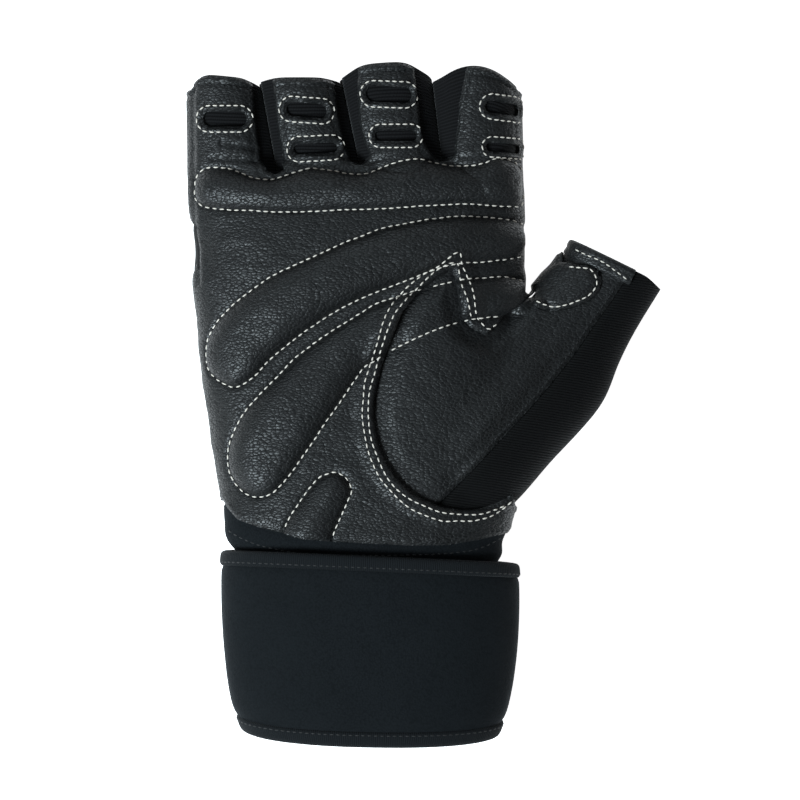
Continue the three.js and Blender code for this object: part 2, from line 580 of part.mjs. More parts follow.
/** A slot in a finger's leather: a stadium cut out from the finger's middle. */
function slotCut({ finger: name, along, across, length, width, lean, turn }) {
  const finger = FINGERS[name];
  const { x, y, half } = fingerAt(finger, along);
  const radius = (width * SLOT_WIDTH) / 2;
  const reach = (length * SLOT_LENGTH) / 2 - radius;
  const shape = new THREE.Shape();
  shape.absarc(reach, 0, radius, -Math.PI / 2, Math.PI / 2, false);
  shape.absarc(-reach, 0, radius, Math.PI / 2, Math.PI * 1.5, false);
  const options = { depth: FAR, bevelEnabled: false, curveSegments: SLOT_ARCS };
  const geometry = new THREE.ExtrudeGeometry(shape, options);
  geometry.rotateZ(THREE.MathUtils.degToRad(turn));
  geometry.rotateY(THREE.MathUtils.degToRad(lean));
  geometry.translate(x + across * half, y, FINGER_THICKNESS / 2);
  return solid(geometry);
}

/** A pad between its table's two edges, sunk into the leather whose outer level it stands on. */
function pad(rows, level) {
  const rings = rows.map((row) => {
    const top = Array.from({ length: PAD_STEPS + 1 }, (_, k) => {
      const share = -Math.cos((k / PAD_STEPS) * Math.PI);
      const x = THREE.MathUtils.lerp(row.lowX, row.highX, (share + 1) / 2) * PALM_WIDTH;
      const y = THREE.MathUtils.lerp(row.lowY, row.highY, (share + 1) / 2) * PALM_LENGTH;
      const rise = row.rise * (PAD_RISE + PAD_SINK) * Math.max(0, 1 - share * share) ** 0.6 - PAD_SINK;
      return new THREE.Vector3(x, y, palmHeight(x, y, level) + rise);
    });
    const under = top.map((p) => new THREE.Vector3(p.x, p.y, palmHeight(p.x, p.y, level - PAD_ROOT)));
    return [...top, ...under.reverse()];
  });
  return solid(loft(rings));
}

/** A point on the strap: turn in radians from +X, down a share of its width, level out of the wrist. */
function strapPoint(turn, down, level) {
  const row = between(STRAP_PROFILE, "down", THREE.MathUtils.clamp(down, 0, 1));
  const across = ((row.half * WRIST_WIDTH) / 2 + level) * squared(Math.cos(turn), WRIST_ROUND);
  const deep = (WRIST_HEIGHT / 2) * (0.45 + 0.55 * row.half) + level;
  const lean = row.sag * Math.abs(Math.sin(turn)) + (row.tilt * across) / WRIST_WIDTH;
  return new THREE.Vector3(
    WRIST_X + across,
    STRAP_TOP - (down + lean) * STRAP_WIDTH,
    WRIST_HEIGHT / 2 + deep * squared(Math.sin(turn), WRIST_ROUND),
  );
}

/** A length of the strap, whose section is a closed list of shares down and heights over its run. */
function strapLength(from, to, profile, above = 0) {
  const steps = Math.max(4, Math.round((STRAP_STEPS * (to - from)) / 360));
  const rings = Array.from({ length: steps + 1 }, (_, i) => {
    const turn = from + ((to - from) * i) / steps;
    const level = between(STRAP_RUN, "turn", turn).level * BINDING + above;
    return profile.map(([down, height]) => strapPoint(THREE.MathUtils.degToRad(turn), down, level + height));
  });
  return solid(loft(rings));
}

/** A flat section between two shares down, with its outside at 0 and its inside below it. */
function flatProfile(downFrom, downTo, thickness) {
  const downs = Array.from({ length: STRAP_ROWS + 1 }, (_, k) => {
    return downFrom + ((downTo - downFrom) * k) / STRAP_ROWS;
  });
  return [...downs.map((down) => [down, 0]), ...downs.map((down) => [down, -thickness]).reverse()];
}

/** A binding's rounded section round the strap's edge, whose middle lies at a share down. */
function bindingProfile(down) {
  return BINDING_SECTION.map(([along, out]) => [
    down + (along * BINDING_WIDTH) / STRAP_WIDTH,
    out * BINDING - STRAP / 2,
  ]);
}

const materials = {
  leather: new THREE.MeshStandardMaterial({ color: 0x1b1d1f, roughness: 0.5, metalness: 0 }),
  knit: new THREE.MeshStandardMaterial({ color: 0x0d0d0e, roughness: 0.9, metalness: 0 }),
  fabric: new THREE.MeshStandardMaterial({ color: 0x0a0b0b, roughness: 0.92, metalness: 0 }),
  neoprene: new THREE.MeshStandardMaterial({ color: 0x101315, roughness: 0.85, metalness: 0 }),
};

const aboveSurface = prism([[-FAR, -FAR], [FAR, -FAR], [FAR, FAR], [-FAR, FAR]], 0, FAR);
const skin = handForm(0).subtract(handForm(-FABRIC, OPEN_REACH)).intersect(aboveSurface);
const leather = handForm(GAP + LEATHER).subtract(handForm(GAP, OPEN_REACH));
const zoneHeight = ZONE_HEIGHT * PALM_THICKNESS;

/** The space that the thumb's pieces take up in the glove's skin, grown by a distance. */
function thumbZone(distance = 0) {
  const front = overPalm(THUMB_FRONT, zoneHeight, FAR, distance);
  const back = overPalm(THUMB_BACK, -FAR, zoneHeight, distance);
  return front.add(back).intersect(aboveCuff(GAP - distance));
}

/** The space over the thumb's middle and inside its seam, without the thumb's ribbed fabric. */
function thumbLeatherZone(distance = 0) {
  return overPalm(THUMB_LEATHER, -FAR, FAR, distance).intersect(aboveThumb(-distance));
}

/** The palm leather, with its slots cut through and its pads raised. */
function palmPanel() {
  const sheet = leather.intersect(overPalm(PALM_OUTLINE, SEAM_HEIGHT, FAR));
  const pads = Object.values(PADS).map((rows) => pad(rows, GAP + LEATHER));
  const trim = overPalm(PALM_OUTLINE, SEAM_HEIGHT, FAR);
  const openings = [handForm(GAP, OPEN_REACH), overPalm(OPENING), ...SLOTS.map(slotCut)];
  return wasm.Manifold.union([sheet, ...pads]).intersect(trim).subtract(wasm.Manifold.union(openings));
}

/** The stretch back, from under the palm leather's sides round the back of the hand. */
function backPanel() {
  const fingers = PARTINGS.slice(1).map((_, i) => fingerZone(i, -1, ROOT_LAP + GAP));
  return skin
    .intersect(overPalm([[-1, -1], [1, -1], [1, 1.02], [-1, 1.02]], -FAR, SEAM_HEIGHT + SEAM_LAP))
    .intersect(aboveCuff(GAP))
    .subtract(wasm.Manifold.union([thumbZone(GAP), ...fingers]));
}

/** The folded leather at the thumb's end, along its leather side. */
function thumbHem() {
  const end = thumbSection(THUMB.length - 1, 0);
  const angle = THREE.MathUtils.degToRad(end.heading);
  const corner = (across, back) => {
    const at = pushed(end, -back);
    return [at.x + across * Math.cos(angle), at.y - across * Math.sin(angle)];
  };
  const slab = prism([
    corner(-THUMB_SIDE, HEM_WIDTH), corner(THUMB_SIDE, HEM_WIDTH), corner(THUMB_SIDE, -THUMB_REACH),
    corner(-THUMB_SIDE, -THUMB_REACH),
  ], -FAR, FAR);
  const fold = thumbForm(GAP + HEM).subtract(thumbForm(GAP, THUMB_REACH));
  return fold.intersect(slab).intersect(thumbLeatherZone());
}

/** The padded patch in the thumb's crotch. */
function thumbPatch() {
  const cushion = thumbForm(GAP + PATCH).subtract(thumbForm(GAP, THUMB_REACH));
  return cushion.intersect(overPalm(PATCH_OUTLINE)).intersect(aboveThumb());
}

/** The inner band between the hand and the strap. */
function cuffBand() {
  const end = -CUFF_LENGTH + CUFF_LINE;
  const slab = prism([[-FAR, end], [FAR, end], [FAR, FAR], [-FAR, FAR]], -FAR, FAR);
  return bodyForm(0).subtract(bodyForm(-CUFF, OPEN_REACH)).intersect(slab).subtract(aboveCuff(0));
}

/** The tab that holds the strap's last end down on the turn below it. */
function closure() {
  const { from, to, downFrom, downTo } = CLOSURE_RUN;
  return strapLength(from, to, flatProfile(downFrom, downTo, CLOSURE), CLOSURE + GAP);
}

const turns = { from: STRAP_RUN[0].turn, to: STRAP_RUN.at(-1).turn };
const edge = (BINDING_WIDTH / 2) / STRAP_WIDTH;
const clear = (BINDING_WIDTH + GAP) / STRAP_WIDTH;

const glove = new THREE.Group();
glove.add(
  part("palm_panel", palmPanel(), materials.leather),
  part("back_panel", backPanel(), materials.fabric),
  part("thumb_panel", skin.intersect(thumbZone()).intersect(thumbLeatherZone()), materials.leather),
  part("thumb_back", skin.intersect(thumbZone()).subtract(thumbLeatherZone(GAP)), materials.knit),
  part("thumb_hem", thumbHem(), materials.leather),
  part("thumb_patch", thumbPatch(), materials.leather),
  part("cuff_band", cuffBand(), materials.neoprene),
  part("wrist_wrap", strapLength(turns.from, turns.to, flatProfile(clear, 1 - clear, STRAP)), materials.neoprene),
  part("wrap_binding_top", strapLength(turns.from, turns.to, bindingProfile(edge)), materials.knit),
  part("wrap_binding_bottom", strapLength(turns.from, turns.to, bindingProfile(1 - edge)), materials.knit),
  part("wrap_closure", closure(), materials.leather),
);
Object.keys(FINGERS).forEach((name, i) => {
  const sleeve = skin.intersect(fingerZone(i, GAP / 2, ROOT_LAP));
  glove.add(part(`finger_sleeve_${name}`, sleeve, materials.knit));
});

// The glove is put down with its middle over the origin and its lowest point on the surface.
const box = new THREE.Box3().setFromObject(glove);
const middle = box.getCenter(new THREE.Vector3());
glove.position.set(-middle.x, -middle.y, -box.min.z);

export default glove;
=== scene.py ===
"""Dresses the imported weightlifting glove: grained leather, padded palm, knit, neoprene and thread.

The glove lies on its back with the palm up, under a camera that looks straight down. Lengths are in
millimetres in the palm's own frame, whose X runs across the palm and Y towards the fingers, and
they become metres in the model's frame when a mesh is made. Seams are traced in the pixels of the
800-pixel frame, and traced() turns them into millimetres.
"""

from __future__ import annotations

import logging
import math
from dataclasses import dataclass, field
from enum import Enum
from functools import partialmethod
from typing import Callable, Sequence

import bpy
import numpy as np
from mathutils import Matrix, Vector
from mathutils.bvhtree import BVHTree

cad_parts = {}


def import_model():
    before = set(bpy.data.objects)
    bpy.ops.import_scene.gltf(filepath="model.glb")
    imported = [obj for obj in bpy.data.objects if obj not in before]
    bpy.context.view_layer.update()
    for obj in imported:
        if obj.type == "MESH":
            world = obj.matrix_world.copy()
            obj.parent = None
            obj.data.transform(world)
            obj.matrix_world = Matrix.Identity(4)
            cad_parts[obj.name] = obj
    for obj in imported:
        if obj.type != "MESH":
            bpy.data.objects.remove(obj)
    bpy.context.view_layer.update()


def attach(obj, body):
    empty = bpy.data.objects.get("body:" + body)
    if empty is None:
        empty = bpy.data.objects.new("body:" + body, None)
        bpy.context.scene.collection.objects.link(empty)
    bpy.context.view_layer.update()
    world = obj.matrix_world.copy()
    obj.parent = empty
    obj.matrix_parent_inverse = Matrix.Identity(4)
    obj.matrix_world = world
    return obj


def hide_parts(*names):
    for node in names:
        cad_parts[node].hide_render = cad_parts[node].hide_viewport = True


LOG = logging.getLogger("glove")

# The frame's scale: metres in a millimetre, millimetres in a pixel, and the palm's own zero in pixels.
MM = 0.001
PIXEL = 0.32
PIXEL_X = 355.5
PIXEL_Y = 541.0
PALM_SHIFT = (-22.355, -43.506)

# Numbers of the random draws, and the factors that mix them with a place.
SEED = 7
FOLD_SEED = 8
HASH_PRIMES = (73856093, 19349663, 83492791)
HASH_STEP = 26699
HASH_FACTOR = 1274126177

# Steps along seams and pads, the cloth's grain and the least height over the floor, in millimetres.
SEAM_STEP = 0.8
PAD_STEP = 2.4
ROW_PLACES = 1500
CLOTH_VOXEL = 1.0
CLOTH_SMOOTHING = 6
FLOOR_GAP = 0.3
FAR = 50.0

# The angles in degrees above which an edge is drawn crisp.
SHEET_SHARP = 58.0
WOUND_SHARP = 50.0
SLEEVE_SHARP = 60.0

# How far a slot's axis reaches over a finger, how much its lean widens it, how a knit's loops slant
# over its ribs, and how turns of the strap count in its waves.
SLOT_REACH = 1.05
SLOT_FACING = 0.6
LOOP_SLANT = 0.35
WAVE_TURN = 0.7

Points = Sequence[tuple[float, float]]
Triple = tuple[float, float, float]
Inputs = dict[str | int, object]
Array = np.ndarray


def traced(points: Points) -> Array:
    """Turns pixels of the frame into millimetres on the palm.

    Args:
        points: Places in the frame, in pixels from its upper left corner.

    Returns:
        One row of x and y for each place.
    """
    pixels = np.asarray(points, dtype=float)
    return np.column_stack(((pixels[:, 0] - PIXEL_X) * PIXEL, (PIXEL_Y - pixels[:, 1]) * PIXEL))


# Numbers on curves and surfaces.


def bent(a: Array, b: Array, c: Array, d: Array, t: Array) -> Array:
    """A Catmull-Rom curve's places between b and c."""
    bend = (2 * a - 5 * b + 4 * c - d) * t * t + (3 * b - a - 3 * c + d) * t**3
    return b + 0.5 * ((c - a) * t + bend)


def lengths_of(line: Array) -> Array:
    """How far along a line each of its places lies."""
    return np.concatenate(([0], np.cumsum(np.linalg.norm(np.diff(line, axis=0), axis=1))))


def eased(table: Array, at: Array | float) -> Array:
    """Reads a table's rows on a Catmull-Rom curve.

    Args:
        table: Rows whose first column rises.
        at: Places in the first column's terms.

    Returns:
        One row for each place, in the table's columns.
    """
    table = np.asarray(table, dtype=float)
    at = np.atleast_1d(np.asarray(at, dtype=float))
    last = len(table) - 1
    i = np.clip(np.searchsorted(table[:, 0], at) - 1, 0, last - 1)
    t = np.clip((at - table[i, 0]) / (table[i + 1, 0] - table[i, 0]), 0, 1)[:, None]
    return bent(*(table[np.clip(i + k, 0, last)] for k in (-1, 0, 1, 2)), t)


def squared(value: Array, power: Array | float) -> Array:
    """A superellipse's sine or cosine."""
    return np.sign(value) * np.abs(value) ** (2.0 / power)


def smoothstep(low: float, high: float, value: Array) -> Array:
    """Rises smoothly from 0 at low to 1 at high."""
    t = np.clip((value - low) / (high - low), 0, 1)
    return t * t * (3 - 2 * t)


def band(value: Array, start: float, full: float, fading: float, end: float) -> Array:
    """Rises smoothly from 0 to 1, and falls back to 0."""
    return smoothstep(start, full, value) * (1 - smoothstep(fading, end, value))


def ridge(distance: Array, width: float) -> Array:
    """A rounded ridge that is 1 on a line and fades over a width."""
    return np.exp(-((distance / width) ** 2))


def rolled(edge: Array, depth: float, start: float = 0.0, end: float = 1.3) -> Array:
    """How far a cut edge is rolled in, at distances from it."""
    return depth * (1 - smoothstep(start, end, edge)) ** 1.5


def smooth_line(pixels: Points, step: float = SEAM_STEP, closed: bool = False) -> Array:
    """Draws a smooth line through traced places, with even steps.

    Args:
        pixels: The places in the frame that the line passes through.
        step: The distance between the made places, in millimetres.
        closed: Whether the line returns to its start.

    Returns:
        The line's places, without a second copy of the first.
    """
    points = traced(pixels)
    ends = (points[-1:], points[:2]) if closed else (points[:1], points[-1:])
    ring = np.concatenate((ends[0], points, ends[1]))
    t = np.linspace(0, 1, 9)[:-1, None]
    made = [bent(*ring[i : i + 4], t) for i in range(len(ring) - 3)]
    made.append(ring[1:2] if closed else ring[-2:-1])
    return even_line(np.concatenate(made), step, closed)


def even_line(line: Array, step: float, closed: bool = False) -> Array:
    """Places points along a line at an even step."""
    lengths = lengths_of(line)
    count = max(3, round(lengths[-1] / step))
    at = np.linspace(0, lengths[-1], count + 1)
    made = np.column_stack([np.interp(at, lengths, line[:, k]) for k in range(line.shape[1])])
    return made[:-1] if closed else made


def to_line(points: Array, line: Array, closed: bool = False) -> tuple[Array, Array]:
    """Measures from points to a line.

    Args:
        points: Places in the plane.
        line: The line's places.
        closed: Whether the line returns to its start.

    Returns:
        Each point's distance to the line, and how far along the line its nearest place lies.
    """
    ends = np.vstack((line, line[:1])) if closed else line
    starts, runs = ends[:-1], np.diff(ends, axis=0)
    lengths = np.maximum((runs**2).sum(axis=1), 1e-9)
    before = np.concatenate(([0], np.cumsum(np.sqrt(lengths))))[:-1]
    best = np.full(len(points), 1e9)
    along = np.zeros(len(points))
    for start, run, length, far in zip(starts, runs, lengths, before):
        away = points - start
        t = np.clip((away @ run) / length, 0, 1)
        gap = ((away - t[:, None] * run) ** 2).sum(axis=1)
        nearer = gap < best
        best[nearer] = gap[nearer]
        along[nearer] = far + t[nearer] * math.sqrt(length)
    return np.sqrt(best), along


def inside(points: Array, outline: Array) -> Array:
    """Tells which points lie inside a closed outline."""
    odd = np.zeros(len(points), dtype=bool)
    x, y = points[:, 0], points[:, 1]
    for (x0, y0), (x1, y1) in zip(outline, np.roll(outline, -1, axis=0)):
        crosses = (y0 > y) != (y1 > y)
        with np.errstate(divide="ignore", invalid="ignore"):
            odd ^= crosses & (x < (x1 - x0) * (y - y0) / (y1 - y0) + x0)
    return odd


def out_of(points: Array, outline: Array) -> Array:
    """The distance of points from a closed outline, which is negative inside it."""
    distance, _ = to_line(points, outline, closed=True)
    return np.where(inside(points, outline), -distance, distance)


def value_noise(points: Array, scale: float, seed: int) -> Array:
    """Smooth noise between -1 and 1 over points in the plane or in space.

    Args:
        points: Places in two or three columns.
        scale: The size of one of the noise's cells.
        seed: The noise's number.

    Returns:
        One value for each place.
    """
    cells = np.floor(points / scale)
    local = points / scale - cells
    local = local * local * (3 - 2 * local)
    cells = cells.astype(np.int64)
    total = np.zeros(len(points))
    size = points.shape[1]
    for corner in range(2**size):
        offset = np.array([(corner >> k) & 1 for k in range(size)])
        weight = np.prod(np.where(offset, local, 1 - local), axis=1)
        mixed = (cells + offset) @ np.array(HASH_PRIMES[:size]) + seed * HASH_STEP
        hashed = (mixed ^ (mixed >> 13)) * HASH_FACTOR & 0x7FFFFFFF
        total += weight * ((hashed % 10007) / 5003.0 - 1.0)
    return total


class Wave(Enum):
    """Soft waves of worn leather and cloth: their size, their height and their noise's number."""

    PALM_BROAD = (19.0, 0.45, 3)
    PALM_FINE = (8.0, 0.22, 5)
    THUMB_BROAD = (16.0, 0.4, 11)
    THUMB_FINE = (6.0, 0.12, 12)
    THUMB_BACK = (14.0, 0.3, 21)
    PATCH = (5.0, 0.15, 31)
    BACK = (18.0, 0.25, 41)
    STRAP = (26.0, 0.22, 51)

    def over(self, points: Array) -> Array:
        """The wave's height over points."""
        size, height, seed = self.value
        return value_noise(points, size, seed) * height


class Groove(Enum):
    """Grooves that seams and folds press into leather: their depth and their width."""

    PAD = (0.7, 0.8)
    STITCHED = (0.3, 0.6)
    FINGER_END = (0.4, 0.7)
    FOLD = (0.5, 0.8)
    BESIDE_FOLD = (0.25, 1.2)
    THUMB_PAD = (0.4, 0.8)
    THUMB_SEAM = (0.4, 1.0)
    PATCH = (0.6, 0.7)

    def at(self, distance: Array) -> Array:
        """The groove's depth at distances from its middle."""
        depth, width = self.value
        return depth * ridge(distance, width)


# Meshes.


@dataclass
class Sheet:
    """A triangle mesh in the palm's frame, with a normal at each vertex."""

    points: Array
    faces: Array
    normals: Array

    def trimmed(self, values: Array) -> "Sheet":
        """Cuts the sheet along the zero line of values and keeps the side where they are negative."""
        faces, within = self.faces, values < 0
        count = within[faces].sum(axis=1)
        kept = [faces[count == 3]]
        cut = []
        for amount in (1, 2):
            mixed = faces[count == amount]
            odd = within[mixed] if amount == 1 else ~within[mixed]
            first = odd.argmax(axis=1)
            cut.append(np.stack([mixed[np.arange(len(mixed)), (first + k) % 3] for k in range(3)], axis=1))
        one, two = cut
        pairs = np.concatenate((one[:, [0, 1]], one[:, [0, 2]], two[:, [0, 1]], two[:, [0, 2]]))
        keys, where = np.unique(np.sort(pairs, axis=1), axis=0, return_inverse=True)
        where = where.reshape(-1) + len(self.points)
        t = values[keys[:, 0]] / (values[keys[:, 0]] - values[keys[:, 1]])
        t = t[:, None]
        points, normals = (
            np.concatenate((values, values[keys[:, 0]] * (1 - t) + values[keys[:, 1]] * t))
            for values in (self.points, self.normals)
        )
        n, m = len(one), len(two)
        p1, q1 = where[:n], where[n : 2 * n]
        p2, q2 = where[2 * n : 2 * n + m], where[2 * n + m :]
        kept.append(np.stack((one[:, 0], p1, q1), axis=1))
        kept.append(np.stack((p2, two[:, 1], two[:, 2]), axis=1))
        kept.append(np.stack((p2, two[:, 2], q2), axis=1))
        made = Sheet(points, np.concatenate(kept), normals).compact()
        made.normals /= np.maximum(np.linalg.norm(made.normals, axis=1), 1e-9)[:, None]
        return made

    def compact(self) -> "Sheet":
        """Leaves out the vertices that no face has."""
        used, renumbered = np.unique(self.faces, return_inverse=True)
        return Sheet(self.points[used], renumbered.reshape(self.faces.shape), self.normals[used])

    def chosen(self, test: Callable[[Array], Array]) -> "Sheet":
        """Keeps the faces whose middles pass a test."""
        middles = self.points[self.faces].mean(axis=1)
        return Sheet(self.points, self.faces[test(middles)], self.normals)

    def snapped(self, measure: Callable[[Array], Array], reach: float) -> "Sheet":
        """Moves vertices that lie close to a field's zero line onto it, so that a cut leaves no slivers."""
        values = measure(self.points)
        near = np.abs(values) < reach
        points = self.points.copy()
        spot = points[near]
        slope = np.zeros_like(spot)
        for axis in range(3):
            step = np.zeros(3)
            step[axis] = 0.05
            slope[:, axis] = (measure(spot + step) - measure(spot - step)) / 0.1
        normal = self.normals[near]
        slope -= normal * (slope * normal).sum(axis=1)[:, None]
        size = np.maximum((slope**2).sum(axis=1), 0.15)
        points[near] = spot - slope * (values[near] / size)[:, None]
        return Sheet(points, self.faces, self.normals)

    def cut(self, measure: Callable[[Array], Array], reach: float) -> "Sheet":
        """Cuts the sheet where a field is zero and keeps the side where it is negative."""
        made = self.snapped(measure, reach)
        return made.trimmed(measure(made.points))

    def largest(self) -> "Sheet":
        """Keeps the largest connected part."""
        label = np.arange(len(self.points))
        while True:
            low = label[self.faces].min(axis=1)
            fresh = label.copy()
            for k in range(3):
                np.minimum.at(fresh, self.faces[:, k], low)
            fresh = fresh[fresh]
            if np.array_equal(fresh, label):
                break
            label = fresh
        names, counts = np.unique(label[self.faces[:, 0]], return_counts=True)
        faces = self.faces[label[self.faces[:, 0]] == names[counts.argmax()]]
        return Sheet(self.points, faces, self.normals).compact()

    def raised(self, heights: Array | float) -> "Sheet":
        """Moves each vertex along its normal."""
        return Sheet(self.points + self.normals * np.reshape(heights, (-1, 1)), self.faces, self.normals)


def bare_mesh(name: str, points: Array, faces: Array) -> bpy.types.Mesh:
    """Makes a Blender mesh from points in metres and faces that all have as many corners."""
    mesh = bpy.data.meshes.new(name)
    count, corners = faces.shape
    mesh.vertices.add(len(points))
    mesh.vertices.foreach_set("co", np.asarray(points, dtype=np.float32).ravel())
    mesh.loops.add(count * corners)
    mesh.loops.foreach_set("vertex_index", faces.astype(np.int32).ravel())
    mesh.polygons.add(count)
    mesh.polygons.foreach_set("loop_start", np.arange(0, count * corners, corners, dtype=np.int32))
    mesh.polygons.foreach_set("use_smooth", np.ones(count, dtype=bool))
    mesh.update(calc_edges=True)
    mesh.validate()
    return mesh


def placed(points: Array) -> Array:
    """Turns millimetres on the palm into metres in the model's frame."""
    return (points + np.array([PALM_SHIFT[0], PALM_SHIFT[1], 0.0])) * MM


def linked(name: str, mesh: bpy.types.Mesh) -> bpy.types.Object:
    """Puts a mesh in the scene as an object."""
    made = bpy.data.objects.new(name, mesh)
    bpy.context.scene.collection.objects.link(made)
    return made


def triples(source: bpy.types.bpy_prop_collection, key: str, kind: type) -> Array:
    """Reads three numbers from each item of a mesh's collection."""
    made = np.empty(len(source) * 3, dtype=kind)
    source.foreach_get(key, made)
    return made.reshape(-1, 3)


def settled(obj: bpy.types.Object) -> None:
    """Applies an object's modifiers to its mesh and removes them."""
    graph = bpy.context.evaluated_depsgraph_get()
    mesh = bpy.data.meshes.new_from_object(obj.evaluated_get(graph), depsgraph=graph)
    old = obj.data
    obj.modifiers.clear()
    obj.data = mesh
    bpy.data.meshes.remove(old)


def loft(rings: Array, capped: bool = True, closed: bool = False) -> tuple[Array, Array]:
    """Joins rings of points by quads.

    Args:
        rings: Rings of equally many points, in one array.
        capped: Whether the first and last ring are closed by a fan about their middle.
        closed: Whether the last ring joins the first.

    Returns:
        The points, and triangles between them.
    """
    count, sides, _ = rings.shape
    points = rings.reshape(-1, 3)
    spans = count if closed else count - 1
    i, k = np.meshgrid(np.arange(spans), np.arange(sides), indexing="ij")
    a = i * sides + k
    b = i * sides + (k + 1) % sides
    c = ((i + 1) % count) * sides + (k + 1) % sides
    d = ((i + 1) % count) * sides + k
    faces = [np.stack((a, b, c), -1).reshape(-1, 3), np.stack((a, c, d), -1).reshape(-1, 3)]
    if capped and not closed:
        middles = np.stack((rings[0].mean(axis=0), rings[-1].mean(axis=0)))
        ring = np.arange(sides)
        following = (ring + 1) % sides
        start, end = np.full(sides, len(points)), np.full(sides, len(points) + 1)
        far = (count - 1) * sides
        faces.append(np.stack((start, following, ring), -1))
        faces.append(np.stack((end, far + ring, far + following), -1))
        points = np.concatenate((points, middles))
    return points, np.concatenate(faces)


# The hand's form.


@dataclass(frozen=True)
class Finger:
    """A finger's stall, in shares of the hand's sizes."""

    name: str
    root: float
    tip: float
    root_half: float
    tip_half: float
    reach: float
    drop: float
    top: float
    flat: float = 2.0
    tilt: float = 0.0

    def middle(self, share: Array) -> Array:
        """The stall's middle across the palm at shares of its length."""
        return self.root + (self.tip - self.root) * np.clip(share, -0.5, 1.2)

    def half(self, share: Array) -> Array:
        """The stall's half-width at shares of its length."""
        return self.root_half + (self.tip_half - self.root_half) * np.clip(share, 0, 1)


